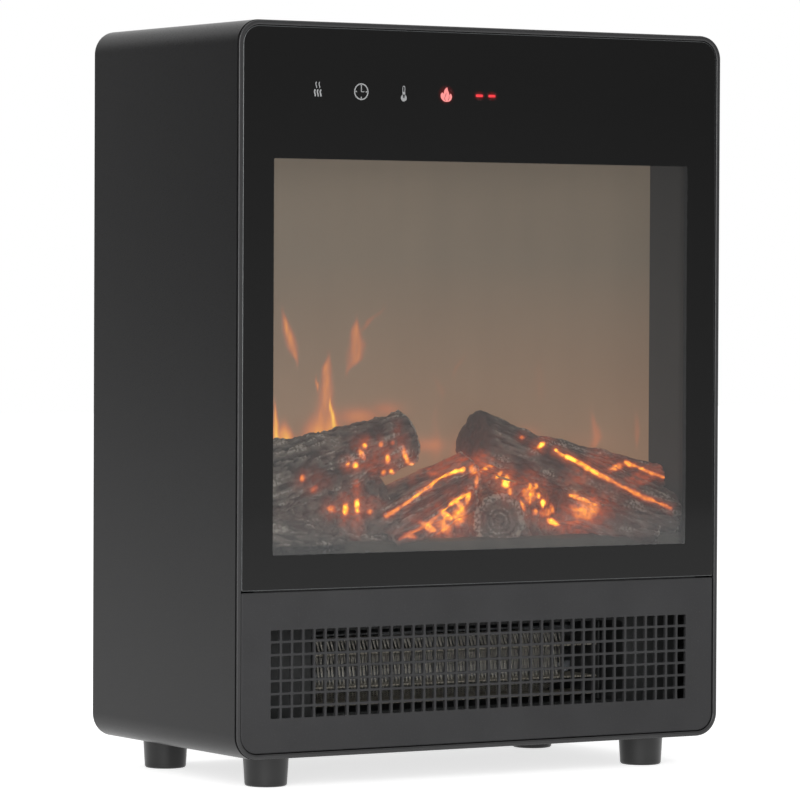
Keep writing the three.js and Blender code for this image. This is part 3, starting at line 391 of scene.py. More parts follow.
def charred_wood():
    """Painted log moulding: dark in the cracks, ash on the ridges, glowing where 'glow' says."""
    material, tree, output = new_material("charred_log_paint")
    relief = attribute(tree, "relief")
    patch = noise_value(tree, 70, 4)
    fine = noise_value(tree, 700, 3)
    patchy = mapped(tree, patch, 0.35, 0.65, 0, 1)
    body = blend_colours(tree, patchy, linear((101, 96, 93)), linear((137, 131, 127)))
    dark = blend_colours(tree, mapped(tree, relief, 0.05, 0.45, 0, 1), linear((46, 42, 40)), body)
    ridges = mapped(tree, relief, 0.52, 0.8, 0, 1)
    ash_place = maths(tree, "MULTIPLY", ridges, mapped(tree, fine, 0.42, 0.58, 0, 1))
    colour = blend_colours(tree, ash_place, dark, linear((200, 198, 194)))
    heat = attribute(tree, "glow")
    shader = node(
        tree,
        "ShaderNodeBsdfPrincipled",
        {"Base Color": colour, "Roughness": 0.75, "Emission Color": fire_colours(tree, heat)},
    )
    shader.inputs["Specular IOR Level"].default_value = 0.3
    power = maths(tree, "MULTIPLY", mapped(tree, heat, 0.02, 0.85, 0, 1), EMBER_POWER)
    tree.links.new(power, shader.inputs["Emission Strength"])
    bump = node(tree, "ShaderNodeBump", {"Height": fine, "Strength": 0.6, "Distance": 0.25 * MM})
    tree.links.new(bump.outputs["Normal"], shader.inputs["Normal"])
    tree.links.new(shader.outputs["BSDF"], output.inputs["Surface"])
    return material


def screen_acrylic():
    """Frosted warm-grey flame screen, with the flames cast on it where 'fire_heat' says, and a steady warm
    emission that is partly its rear lighting and partly painted light, brighter low down.
    """
    material, tree, output = new_material("flame_screen_acrylic")
    cloud = uneven_share(tree, 12, 3, (4, 1, 0.4))
    warm = blend_colours(tree, cloud, linear((120, 110, 101)), linear((128, 117, 106)))
    heat = attribute(tree, "fire_heat")
    warm = blend_colours(tree, mapped(tree, heat, 0.1, 0.8, 0, 1), warm, linear((70, 38, 18)))
    place = node(tree, "ShaderNodeTexCoord").outputs["Object"]
    height = node(tree, "ShaderNodeSeparateXYZ", {"Vector": place}).outputs["Z"]
    # Painted light: the steady emission stands in for light the lamps barely bring into the firebox, and its
    # warmer, brighter band low down is painted firelight from the logs below; only part of it is the screen's own
    # rear lighting.
    painted_low_firelight = mapped(tree, height, screen_low.z + 0.06, screen_low.z + 0.16, 1, 0)
    rear_light_and_painted_light = blend_colours(tree, painted_low_firelight, (0.104, 0.086, 0.064, 1), (0.215, 0.122, 0.068, 1))
    flames = node(tree, "ShaderNodeMix", data_type="RGBA", blend_type="MULTIPLY", clamp_factor=True)
    flames.inputs["Factor"].default_value = 1.0
    tree.links.new(fire_colours(tree, heat), flames.inputs[6])
    tree.links.new(mapped(tree, heat, 0.0, 0.9, 0, 1.0), flames.inputs[7])
    total = node(tree, "ShaderNodeMix", data_type="RGBA", blend_type="ADD", clamp_factor=True)
    total.inputs["Factor"].default_value = 1.0
    tree.links.new(rear_light_and_painted_light, total.inputs[6])
    tree.links.new(flames.outputs[2], total.inputs[7])
    shader = node(
        tree,
        "ShaderNodeBsdfPrincipled",
        {"Base Color": warm, "Roughness": 0.6, "Emission Color": total.outputs[2], "Emission Strength": 1.0},
    )
    shader.inputs["Specular IOR Level"].default_value = 0.2
    tree.links.new(shader.outputs["BSDF"], output.inputs["Surface"])
    return material


# ---------------------------------------------------------------- mesh helpers
def hold_flat_faces(mesh):
    """Keeps broad flat faces flat in shading where narrow rounded edges meet them."""
    bm = bmesh.new()
    bm.from_mesh(mesh)
    for edge in bm.edges:
        if len(edge.link_faces) == 2:
            areas = sorted(face.calc_area() for face in edge.link_faces)
            upright = [abs(face.normal.y) > 0.99999 for face in edge.link_faces]
            uneven = areas[1] > 12 * areas[0] or upright[0] != upright[1]
            if uneven and edge.calc_face_angle(0) > math.radians(1.2):
                edge.smooth = False
    bm.to_mesh(mesh)
    bm.free()


def piece(name, mesh, materials, replaces=(), body="housing", crease=32):
    """Links a mesh as a named piece that rides on a body, with the materials given, and hides the frame nodes it
    replaces.
    """
    for material in materials:
        mesh.materials.append(material)
    mesh.shade_smooth()
    mesh.set_sharp_from_angle(angle=math.radians(crease))
    hold_flat_faces(mesh)
    obj = bpy.data.objects.new(name, mesh)
    bpy.context.collection.objects.link(obj)
    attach(obj, body)
    if replaces:
        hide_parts(*replaces)
    return obj


def finished(bm, name):
    bmesh.ops.remove_doubles(bm, verts=bm.verts, dist=1e-7)
    bmesh.ops.recalc_face_normals(bm, faces=bm.faces)
    mesh = bpy.data.meshes.new(name)
    bm.to_mesh(mesh)
    bm.free()
    return mesh


def rounded(x0, x1, z0, z1, lower, upper, steps=CORNER_STEPS):
    """Outline points of an X-Z rectangle with round lower and upper corners."""
    corners = (
        (x1 - lower, z0 + lower, lower, -90),
        (x1 - upper, z1 - upper, upper, 0),
        (x0 + upper, z1 - upper, upper, 90),
        (x0 + lower, z0 + lower, lower, 180),
    )
    points = []
    for cx, cz, radius, start in corners:
        for k in range(steps + 1):
            angle = math.radians(start + 90 * k / steps)
            points.append((cx + radius * math.cos(angle), cz + radius * math.sin(angle)))
    return points


def circle(x, z, radius, sides=40):
    return [
        (x + radius * math.cos(2 * math.pi * k / sides), z + radius * math.sin(2 * math.pi * k / sides))
        for k in range(sides)
    ]


def round_hole(x, z, radius, sides):
    """Outline function of a round hole: a positive inset makes it smaller."""
    return lambda inset: circle(x, z, radius - inset, sides)


def panel_outline(low, high, lower, upper):
    """Outline function of a front panel's box, with its lower and upper corner radii."""
    least = 0.1 * MM

    def shape(inset):
        return rounded(
            low.x + inset,
            high.x - inset,
            low.z + inset,
            high.z - inset,
            max(lower - inset, least),
            max(upper - inset, least),
        )

    return shape


def close_behind(mesh, axis, level):
    """Gives an open sheet walls down to a level on an axis, and a back."""
    bm = bmesh.new()
    bm.from_mesh(mesh)
    walls = bmesh.ops.extrude_edge_only(bm, edges=[e for e in bm.edges if e.is_boundary])
    for part in walls["geom"]:
        if isinstance(part, bmesh.types.BMVert):
            part.co[axis] = level
    bmesh.ops.holes_fill(bm, edges=[e for e in bm.edges if e.is_boundary], sides=0)
    bmesh.ops.recalc_face_normals(bm, faces=bm.faces)
    bm.to_mesh(mesh)
    bm.free()


def grid_quads(columns, rows):
    """Faces of a grid of points that is numbered column by column."""
    return [
        (i * rows + j, (i + 1) * rows + j, (i + 1) * rows + j + 1, i * rows + j + 1)
        for i in range(columns - 1)
        for j in range(rows - 1)
    ]


def add_values(mesh, name, values):
    """Stores one number for each point under a name that a material can read."""
    layer = mesh.attributes.new(name, "FLOAT", "POINT")
    layer.data.foreach_set("value", values.astype(np.float32))


def box_hole(x0, x1, z0, z1, corner, steps=4):
    def shape(inset):
        c = max(corner - inset, 0.02 * MM)
        return rounded(x0 + inset, x1 - inset, z0 + inset, z1 - inset, c, c, steps)

    return shape


def case_outline(inset):
    radius = max(CORNER - inset, 0.3 * MM)
    return rounded(
        -HALF_WIDTH + inset,
        HALF_WIDTH - inset,
        BODY_BOTTOM + inset,
        BODY_TOP - inset,
        radius,
        radius,
    )


def softened(profile, radius, steps=3):
    """A closed profile with each corner drawn as a short curve."""
    points = []
    count = len(profile)
    for i, (u, v) in enumerate(profile):
        corner = Vector((u, v))
        before = Vector(profile[i - 1]) - corner
        after = Vector(profile[(i + 1) % count]) - corner
        reach_before = min(radius, before.length * 0.45)
        reach_after = min(radius, after.length * 0.45)
        start = corner + before.normalized() * reach_before
        end = corner + after.normalized() * reach_after
        for k in range(steps + 1):
            t = k / steps
            points.append(tuple(start * (1 - t) ** 2 + corner * 2 * t * (1 - t) + end * t**2))
    return points


def add_ring(bm, profile, outline, material=0):
    """Sweeps a closed (inset, y) profile round an outline."""
    rings = [[bm.verts.new((x, y, z)) for x, z in outline(inset)] for inset, y in profile]
    for ring, following in zip(rings, rings[1:] + rings[:1]):
        for i in range(len(ring)):
            face = bm.faces.new((ring[i - 1], ring[i], following[i], following[i - 1]))
            face.material_index = material


def edge_profile(y0, y1, soft, steps=3):
    """(inset, y) from the front face to the back face, with rounded edges."""
    turns = [k / steps * math.pi / 2 for k in range(steps + 1)]
    front = [(soft * (1 - math.sin(a)), y0 + soft * (1 - math.cos(a))) for a in turns]
    rear = [(soft * (1 - math.cos(a)), y1 - soft * (1 - math.sin(a))) for a in turns]
    return front + rear


def add_plate(bm, outer, holes, y0, y1, soft, hole_soft=None, steps=3, hole_steps=2):
    """A flat plate across X and Z with rounded edges and holes. Shapes are functions of an inset."""
    hole_soft = soft if hole_soft is None else hole_soft
    ends = []
    shapes = [(outer, 1, soft, steps)] + [(hole, -1, hole_soft, hole_steps) for hole in holes]
    for shape, sign, edge, count in shapes:
        rings = [
            [bm.verts.new((x, y, z)) for x, z in shape(sign * inset)]
            for inset, y in edge_profile(y0, y1, edge, count)
        ]
        for ring, following in zip(rings, rings[1:]):
            for i in range(len(ring)):
                bm.faces.new((ring[i - 1], ring[i], following[i], following[i - 1]))
        ends.append((rings[0], rings[-1]))
    for side in (0, 1):
        loops = [pair[side] for pair in ends]
        edges = [bm.edges.get((loop[i - 1], loop[i])) for loop in loops for i in range(len(loop))]
        bmesh.ops.triangle_fill(bm, use_beauty=False, use_dissolve=False, edges=edges)


def add_box(bm, low, high, soft=0.0):
    """A box with slightly rounded edges along X and Z."""
    shape = box_hole(low[0], high[0], low[2], high[2], max(soft, 0.05 * MM), 2)
    add_plate(bm, shape, [], low[1], high[1], max(soft, 0.05 * MM), steps=2)


def add_turned(bm, profile, centre, axis="Z", sides=48, material=0):
    """A turned solid from closed or axis-to-axis (radius, height) points."""
    turn = {
        "Z": Matrix.Identity(3),
        "Y": Matrix(((1, 0, 0), (0, 0, 1), (0, 1, 0))),
        "X": Matrix(((0, 0, 1), (0, 1, 0), (1, 0, 0))),
    }[axis]
    rings = []
    for radius, height in profile:
        ring = []
        for k in range(sides if radius > 1e-9 else 1):
            angle = 2 * math.pi * k / sides
            place = Vector((radius * math.cos(angle), radius * math.sin(angle), height))
            ring.append(bm.verts.new(turn @ place + Vector(centre)))
        rings.append(ring)
    closed = profile[0][0] > 1e-9
    for a, b in zip(rings, rings[1:] + (rings[:1] if closed else [])):
        for k in range(sides):
            corners = [a[k % len(a)], a[(k + 1) % len(a)], b[(k + 1) % len(b)], b[k % len(b)]]
            unique = list(dict.fromkeys(corners))
            if len(unique) > 2:
                bm.faces.new(unique).material_index = material


def add_tube(bm, points, radius, sides=6, material=0):
    """A round bar along a polyline, closed at its ends."""
    line = [Vector(p) for p in points]
    up = Vector((0, 1, 0))
    rings = []
    for i, p in enumerate(line):
        along = (line[min(i + 1, len(line) - 1)] - line[max(i - 1, 0)]).normalized()
        side = along.cross(up)
        side = side.normalized() if side.length > 1e-6 else Vector((1, 0, 0))
        other = along.cross(side).normalized()
        turns = [2 * math.pi * k / sides for k in range(sides)]
        rings.append([bm.verts.new(p + radius * (math.cos(a) * side + math.sin(a) * other)) for a in turns])
    for a, b in zip(rings, rings[1:]):
        for k in range(sides):
            bm.faces.new((a[k - 1], a[k], b[k], b[k - 1])).material_index = material
    bm.faces.new(rings[0]).material_index = material
    bm.faces.new(rings[-1]).material_index = material


# ---------------------------------------------------------------- camera and studio
def make_camera():
    camera = bpy.data.cameras.new("camera")
    camera.sensor_width = 36
    camera.lens = 214.88
    camera.clip_end = 50
    obj = bpy.data.objects.new("camera", camera)
    bpy.context.collection.objects.link(obj)
    yaw, pitch, roll = math.radians(31.484), math.radians(-1.375), math.radians(0.26)
    ahead = Vector((math.sin(yaw) * math.cos(pitch), math.cos(yaw) * math.cos(pitch), math.sin(pitch)))
    right = Vector((math.cos(yaw), -math.sin(yaw), 0))
    up = right.cross(ahead)
    level_right = right * math.cos(roll) + up * math.sin(roll)
    level_up = up * math.cos(roll) - right * math.sin(roll)
    turn = Matrix((level_right, level_up, -ahead)).transposed()
    obj.matrix_world = Matrix.Translation(CAMERA_PLACE) @ turn.to_4x4()
    bpy.context.scene.camera = obj


def white_for_views(tree, plain, white):
    """Shows white to camera, mirror and see-through rays, and the plain look to all others."""
    path = node(tree, "ShaderNodeLightPath")
    seen = maths(tree, "MAXIMUM", path.outputs["Is Camera Ray"], path.outputs["Is Glossy Ray"])
    any_view = maths(tree, "MAXIMUM", seen, path.outputs["Is Transmission Ray"])
    return mixed_shaders(tree, any_view, plain, white)


def make_studio():
    world = bpy.data.worlds.new("studio")
    bpy.context.scene.world = world
    world.use_nodes = True
    tree = world.node_tree
    tree.nodes.clear()
    output = tree.nodes.new("ShaderNodeOutputWorld")
    plain = node(tree, "ShaderNodeBackground", {"Color": (1, 1, 1, 1), "Strength": 0.5})
    white = node(tree, "ShaderNodeBackground", {"Color": (1, 1, 1, 1), "Strength": 1.0})
    shown = white_for_views(tree, plain.outputs["Background"], white.outputs["Background"])
    tree.links.new(shown, output.inputs["Surface"])

    material, tree, output = new_material("studio_floor")
    pale = node(tree, "ShaderNodeBsdfDiffuse", {"Color": (0.8, 0.8, 0.8, 1)})
    glow = node(tree, "ShaderNodeEmission", {"Color": (1, 1, 1, 1), "Strength": 0.72})
    both = node(tree, "ShaderNodeAddShader")
    tree.links.new(pale.outputs["BSDF"], both.inputs[0])
    tree.links.new(glow.outputs["Emission"], both.inputs[1])
    shown = white_for_views(tree, pale.outputs["BSDF"], both.outputs["Shader"])
    tree.links.new(shown, output.inputs["Surface"])
    half = 6.0
    mesh = bpy.data.meshes.new("studio_floor")
    corners = [(-half, -half, 0), (half, -half, 0), (half, half, 0), (-half, half, 0)]
    mesh.from_pydata(corners, [], [(0, 1, 2, 3)])
    mesh.materials.append(material)
    floor = bpy.data.objects.new("studio_floor", mesh)
    bpy.context.collection.objects.link(floor)

    def lamp(name, place, aim, width, height, power):
        light = bpy.data.lights.new(name, "AREA")
        light.shape = "RECTANGLE"
        light.size, light.size_y = width, height
        light.energy = power
        obj = bpy.data.objects.new(name, light)
        bpy.context.collection.objects.link(obj)
        obj.location = place
        obj.rotation_mode = "QUATERNION"
        obj.rotation_quaternion = (Vector(aim) - Vector(place)).to_track_quat("-Z", "Y")

    lamp("key_softbox", (-0.95, -1.2, 0.55), (0, 0, 0.18), 0.9, 0.9, 17)
    lamp("top_softbox", (0.0, 0.2, 1.8), (0, 0, 0.3), 1.6, 1.6, 5)

    def card(name, corner, far_corner, height, fade, dark, across):
        """A grey card, darker upwards, seen only in gloss: it shapes the reflections on black faces."""
        material, tree, output = new_material(name)
        place = node(tree, "ShaderNodeTexCoord").outputs["Object"]
        axes = node(tree, "ShaderNodeSeparateXYZ", {"Vector": place})
        rise = mapped(tree, axes.outputs["Z"], 0.0, fade, 1.0, dark)
        sideways = mapped(tree, axes.outputs["X"], 1.1, 1.9, 1.0, across)
        tone = maths(tree, "MULTIPLY", rise, sideways)
        glow = node(tree, "ShaderNodeEmission", {"Color": (1, 1, 1, 1), "Strength": tone})
        tree.links.new(glow.outputs["Emission"], output.inputs["Surface"])
        (ax, ay), (bx, by) = corner, far_corner
        mesh = bpy.data.meshes.new(name)
        verts = [(ax, ay, 0), (bx, by, 0), (bx, by, height), (ax, ay, height)]
        mesh.from_pydata(verts, [], [(0, 1, 2, 3)])
        mesh.materials.append(material)
        obj = bpy.data.objects.new(name, mesh)
        bpy.context.collection.objects.link(obj)
        obj.visible_camera = obj.visible_diffuse = obj.visible_shadow = obj.visible_transmission = False

    card("front_card", (0.2, -2.6), (3.4, -2.0), 2.2, 0.45, 0.52, 0.72)
    card("side_card", (-2.2, -1.3), (-1.6, 3.2), 2.2, 0.12, 0.08, 1.0)


bpy.context.scene.view_settings.view_transform = "Standard"
make_camera()
make_studio()


# ---------------------------------------------------------------- case, bezel, glass, feet
def make_case():
    bm = bmesh.new()
    y0, y1 = case_low.y, case_high.y
    wall = softened([(0, y0), (0, y1), (SHEET, y1), (SHEET, y0)], 0.3 * MM)
    add_ring(bm, wall, case_outline)
    flange = (cover_low.y - 1.3 * MM, cover_low.y - 0.3 * MM)
    inner, reach, relief = HALF_WIDTH - 0.6 * MM, 11 * MM, 20 * MM
    top, bottom = BODY_TOP - 0.6 * MM, BODY_BOTTOM + 0.6 * MM
    for side in (-1, 1):
        ends = sorted((side * inner, side * (inner - reach + 0.6 * MM)))
        foot, head = BODY_BOTTOM + relief, BODY_TOP - relief
        add_box(bm, (ends[0], flange[0], foot), (ends[1], flange[1], head), 0.2 * MM)
    across = HALF_WIDTH - relief
    add_box(bm, (-across, flange[0], top - reach), (across, flange[1], top), 0.2 * MM)
    add_box(bm, (-across, flange[0], bottom), (across, flange[1], bottom + reach), 0.2 * MM)
    piece("steel_case", finished(bm, "steel_case"), [case_paint], ["case_shell"])


def make_bezel():
    bm = bmesh.new()
    lip_outer, lip_inner, spigot, ledge = 0.3 * MM, 2.6 * MM, 1.4 * MM, 12 * MM
    lip_back, ledge_front, ledge_back = FRONT_Y + 1 * MM, FRONT_Y + 3.8 * MM, FRONT_Y + 5.8 * MM
    lip = [(lip_outer, lip_back), (lip_outer, FRONT_Y), (lip_inner, FRONT_Y)]
    lip += [(lip_inner, ledge_back), (spigot, lip_back)]
    add_ring(bm, softened(lip, 0.75 * MM, 4), case_outline)
    ring = [(spigot, ledge_front), (ledge, ledge_front), (ledge, ledge_back), (lip_inner, ledge_back)]
    ring += [(lip_inner, bezel_high.y), (spigot, bezel_high.y)]
    add_ring(bm, softened(ring, 0.3 * MM, 2), case_outline)
    bar_half = HALF_WIDTH - 1.6 * MM
    for z0, z1 in ((91.9 * MM, 102.9 * MM), (312.0 * MM, 326.0 * MM)):
        add_box(bm, (-bar_half, ledge_front, z0), (bar_half, ledge_back, z1), 0.3 * MM)
    piece("front_bezel", finished(bm, "front_bezel"), [bezel_plastic], ["front_frame"])


def make_glass():
    bm = bmesh.new()
    outline = panel_outline(glass_low, glass_high, TIGHT_CORNER, PANEL_CORNER)
    window = rounded(-WINDOW_HALF, WINDOW_HALF, WINDOW_BOTTOM, WINDOW_TOP, TIGHT_CORNER, TIGHT_CORNER)
    profile = edge_profile(glass_low.y, glass_high.y, 0.35 * MM)
    rings = [[bm.verts.new((x, glass_low.y, z)) for x, z in window]]
    rings += [[bm.verts.new((x, y, z)) for x, z in outline(inset)] for inset, y in profile]
    rings += [[bm.verts.new((x, glass_high.y, z)) for x, z in window]]
    for k, (ring, following) in enumerate(zip(rings, rings[1:])):
        edge = 2 if 0 < k < len(rings) - 2 else 0
        for i in range(len(ring)):
            bm.faces.new((ring[i - 1], ring[i], following[i], following[i - 1])).material_index = edge
    bm.faces.new(rings[0]).material_index = 1
    bm.faces.new(list(reversed(rings[-1]))).material_index = 3
    mesh = finished(bm, "glass_front")
    finishes = [print_black(), window_glass("smoked_glass", True), glass_edge]
    finishes.append(window_glass("smoked_glass_inside", False))
    piece("glass_front", mesh, finishes, ["front_glass"])


def flat_stroke(bm, points, width, y, material=0, closed=False):
    """A flat stroke on the glass along X-Z points."""
    line = [Vector(p) for p in points]
    count = len(line)
    left, right = [], []
    for i, p in enumerate(line):
        before = line[i - 1] if (i or closed) else p
        after = line[(i + 1) % count] if (i + 1 < count or closed) else p
        along = (after - before).normalized()
        across = Vector((-along.y, along.x)) * width / 2
        left.append(bm.verts.new((p.x + across.x, y, p.y + across.y)))
        right.append(bm.verts.new((p.x - across.x, y, p.y - across.y)))
    pairs = range(count) if closed else range(1, count)
    for i in pairs:
        bm.faces.new((left[i - 1], left[i], right[i], right[i - 1])).material_index = material


def flat_shape(bm, points, y, material=0):
    face = bm.faces.new([bm.verts.new((x, y, z)) for x, z in points])
    face.material_index = material
    bmesh.ops.triangulate(bm, faces=[face])


def thick(bm, depth):
    """Gives flat marks a little body behind the face that shows."""
    marks = bm.faces[:]
    grown = bmesh.ops.extrude_face_region(bm, geom=marks)
    moved = [v for v in grown["geom"] if isinstance(v, bmesh.types.BMVert)]
    bmesh.ops.translate(bm, vec=(0, -depth, 0), verts=moved)


def make_keys():
    """Printed and lit marks of the touch keys, a hair proud of the glass."""
    y = glass_low.y - 0.005 * MM
    depth = 0.02 * MM
    heat_x, clock_x, thermo_x, flame_x = KEY_X

    bm = bmesh.new()

    def wave(x, z0, z1, width):
        steps = 14
        points = [
            (x + 0.22 * MM * math.sin(2 * math.pi * k / steps + 0.6), z0 + (z1 - z0) * k / steps)
            for k in range(steps + 1)
        ]
        flat_stroke(bm, points, width, y)

    for k in (-1, 0, 1):
        wave(heat_x + k * 1.6 * MM, KEY_Z - 2.6 * MM, KEY_Z + 0.8 * MM, 0.75 * MM)
    for k in (-0.5, 0.5):
        wave(heat_x + k * 1.8 * MM, KEY_Z + 1.5 * MM, KEY_Z + 4.5 * MM, 0.5 * MM)

    clock_z = KEY_Z + 0.3 * MM
    flat_stroke(bm, circle(clock_x, clock_z, 3.8 * MM), 0.62 * MM, y, closed=True)
    for dx, dz in ((0, 1), (1, 0), (0, -1), (-1, 0)):
        start = Vector((clock_x + dx * 2.5 * MM, clock_z + dz * 2.5 * MM))
        end = Vector((clock_x + dx * 3.7 * MM, clock_z + dz * 3.7 * MM))
        flat_stroke(bm, [start, end], 0.6 * MM, y)
    hands = [(clock_x, clock_z + 2.4 * MM), (clock_x, clock_z), (clock_x + 1.7 * MM, clock_z)]
    flat_stroke(bm, hands, 0.5 * MM, y)

    bulb_z, bulb = KEY_Z - 2.2 * MM, 1.7 * MM
    flat_shape(bm, circle(thermo_x, bulb_z, bulb), y)
    stem = rounded(
        thermo_x - 0.6 * MM, thermo_x + 0.6 * MM, KEY_Z - 0.8 * MM, KEY_Z + 3.6 * MM, 0.1 * MM, 0.59 * MM, 5
    )
    flat_stroke(bm, stem, 0.36 * MM, y, closed=True)
    flat_stroke(bm, [(thermo_x, bulb_z), (thermo_x, KEY_Z + 0.8 * MM)], 0.8 * MM, y)
    thick(bm, depth)
    piece("key_marks", finished(bm, "key_marks"), [icon_print])

    bm = bmesh.new()
    tongue = [(0.1, -3.5), (-1.6, -3.1), (-3.0, -1.7), (-3.2, 0.1), (-2.3, 1.1), (-1.4, 0.5)]
    tongue += [(-1.3, 1.7), (-0.6, 2.9), (0.6, 3.7), (0.8, 2.5), (1.5, 1.3), (1.9, -0.2)]
    tongue += [(2.6, 0.6), (3.3, -0.6), (3.0, -2.2), (1.9, -3.2)]
    flame = [(flame_x + u * MM, KEY_Z + v * MM) for u, v in smoothed(tongue, 4)]
    flat_shape(bm, flame, y, 0)
    thick(bm, depth)
    piece("key_flame", finished(bm, "key_flame"), [icon_lit])

    bm = bmesh.new()
    curls = [[(-0.4, -3.0), (-1.0, -1.8), (-0.5, -0.6), (0.0, 0.8)], [(1.0, -2.9), (1.7, -1.6), (1.5, -0.4)]]
    for curl in curls:
        line = [(flame_x + u * MM, KEY_Z + v * MM) for u, v in curl]
        flat_stroke(bm, line, 0.3 * MM, y - 1.5 * depth)
    thick(bm, 0.5 * depth)
    piece("key_flame_curls", finished(bm, "key_flame_curls"), [icon_halo])

    bm = bmesh.new()
    strength = bm.verts.layers.float.new("halo")
    for x, half_x, half_z in ((flame_x, 5.0, 5.0), (DASH_X[0], 3.6, 2.6), (DASH_X[1], 3.6, 2.6)):
        centre = bm.verts.new((x, glass_low.y - 0.003 * MM, KEY_Z))
        centre[strength] = 1.0
        rings = []
        for share in (0.35, 0.7, 1.0):
            ring = []
            for u, v in circle(0, 0, share, 32):
                vert = bm.verts.new((x + u * half_x * MM, centre.co.y, KEY_Z + v * half_z * MM))
                vert[strength] = (1 - share) ** 1.3
                ring.append(vert)
            rings.append(ring)
        for k in range(32):
            bm.faces.new((centre, rings[0][k - 1], rings[0][k]))
            for a, b in zip(rings, rings[1:]):
                bm.faces.new((a[k - 1], b[k - 1], b[k], a[k]))
    halo = bpy.data.meshes.new("key_halos")
    bm.to_mesh(halo)
    bm.free()
    piece("key_halos", halo, [halo_glow()])

    bm = bmesh.new()
    for x in DASH_X:
        under, over = KEY_Z - 0.65 * MM, KEY_Z + 0.65 * MM
        dash = rounded(x - 2.1 * MM, x + 2.1 * MM, under, over, 0.5 * MM, 0.5 * MM, 4)
        flat_shape(bm, dash, y, 0)
    thick(bm, depth)
    piece("display_dashes", finished(bm, "display_dashes"), [digit_lit])


def smoothed(points, steps):
    """A closed Catmull-Rom curve through points."""
    made = []
    count = len(points)
    for i in range(count):
        p0, p1, p2, p3 = (Vector(points[(i + k) % count]) for k in (-1, 0, 1, 2))
        for k in range(steps):
            t = k / steps
            a = 2 * p1 + (p2 - p0) * t
            b = (2 * p0 - 5 * p1 + 4 * p2 - p3) * t**2
            c = (3 * p1 - p0 - 3 * p2 + p3) * t**3
            made.append(tuple((a + b + c) / 2))
    return made


def make_feet():
    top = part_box("foot_front_left")[1].z
    profile = [(4.8, 0), (9.3, 0), (9.9, 0.15), (10.4, 0.6), (10.55, 1.3)]
    profile += [(11.3, 13.6), (11.45, 14.0), (11.5, 14.5)]
    profile += [(11.4, 15.1), (2.3, 15.1), (2.3, 9.0), (4.8, 9.0)]
    for place in ("front_left", "front_right", "rear_left", "rear_right"):
        low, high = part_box("foot_" + place)
        bm = bmesh.new()
        add_turned(
            bm,
            [(r * MM, min(h * MM, top)) for r, h in profile],
            ((low.x + high.x) / 2, (low.y + high.y) / 2, 0),
            sides=64,
        )
        mesh = finished(bm, "rubber_foot_" + place)
        piece("rubber_foot_" + place, mesh, [foot_rubber], ["foot_" + place])


def make_grille():
    bm = bmesh.new()
    outline = panel_outline(grille_low, grille_high, PANEL_CORNER, TIGHT_CORNER)
    holes = []
    reach = GRILLE_HOLE / 2
    for row in range(GRILLE_ROWS):
        z = GRILLE_FIRST_Z + row * GRILLE_PITCH
        for column in range(GRILLE_COLUMNS):
            x = (column - (GRILLE_COLUMNS - 1) / 2) * GRILLE_PITCH
            holes.append(box_hole(x - reach, x + reach, z - reach, z + reach, 0.55 * MM, 2))
    face_back = grille_low.y + 2 * MM
    add_plate(bm, outline, holes, grille_low.y, face_back, 0.7 * MM, hole_soft=0.22 * MM)
    skirt = [(0.02 * MM, face_back - 0.9 * MM), (0.02 * MM, grille_high.y), (1.6 * MM, grille_high.y)]
    skirt += [(1.6 * MM, face_back - 0.9 * MM)]
    add_ring(bm, softened(skirt, 0.2 * MM, 2), outline)
    piece("grille_face", finished(bm, "grille_face"), [grille_paint], ["grille_panel"])


# ---------------------------------------------------------------- logs, embers and flames
def as_seen(x, y, z):
    """Where a point lines up on the front plane from the camera's place, in millimetres."""
    to_front = FRONT_Y - CAMERA_PLACE[1]
    t = to_front / (y - CAMERA_PLACE[1])
    u = CAMERA_PLACE[0] + (x - CAMERA_PLACE[0]) * t
    v = CAMERA_PLACE[2] + (z - CAMERA_PLACE[2]) * t
    return u / MM, v / MM


# Each log: start and end [x, depth behind the front, height above the firebox floor], end radii,
# how rocky its bark is and how charred its start is.
LOGS = [
    ((-128, 26, 46), (-30, 27, 71), (19, 13), 1.0, 0.0),
    ((-128, 22, 18), (-46, 20, 14), (20, 9), 0.7, 0.0),
    ((-58, 22, 32), (4, 22, 54), (10, 10), 0.2, 0.6),
    ((-46, 15.5, 19), (1, 17, 43), (7, 8), 0.3, 0.5),
    ((16, 12, 29), (22, 37, 33), (14, 14), 0.0, 0.0),
    ((8, 27, 71), (128, 20, 29), (14, 11), 0.3, 0.8),
    ((48, 32, 65), (128, 32, 47), (7, 7.5), 0.4, 0.5),
    ((50, 15, 37), (111, 14, 18), (8, 8), 0.2, 0.7),
]
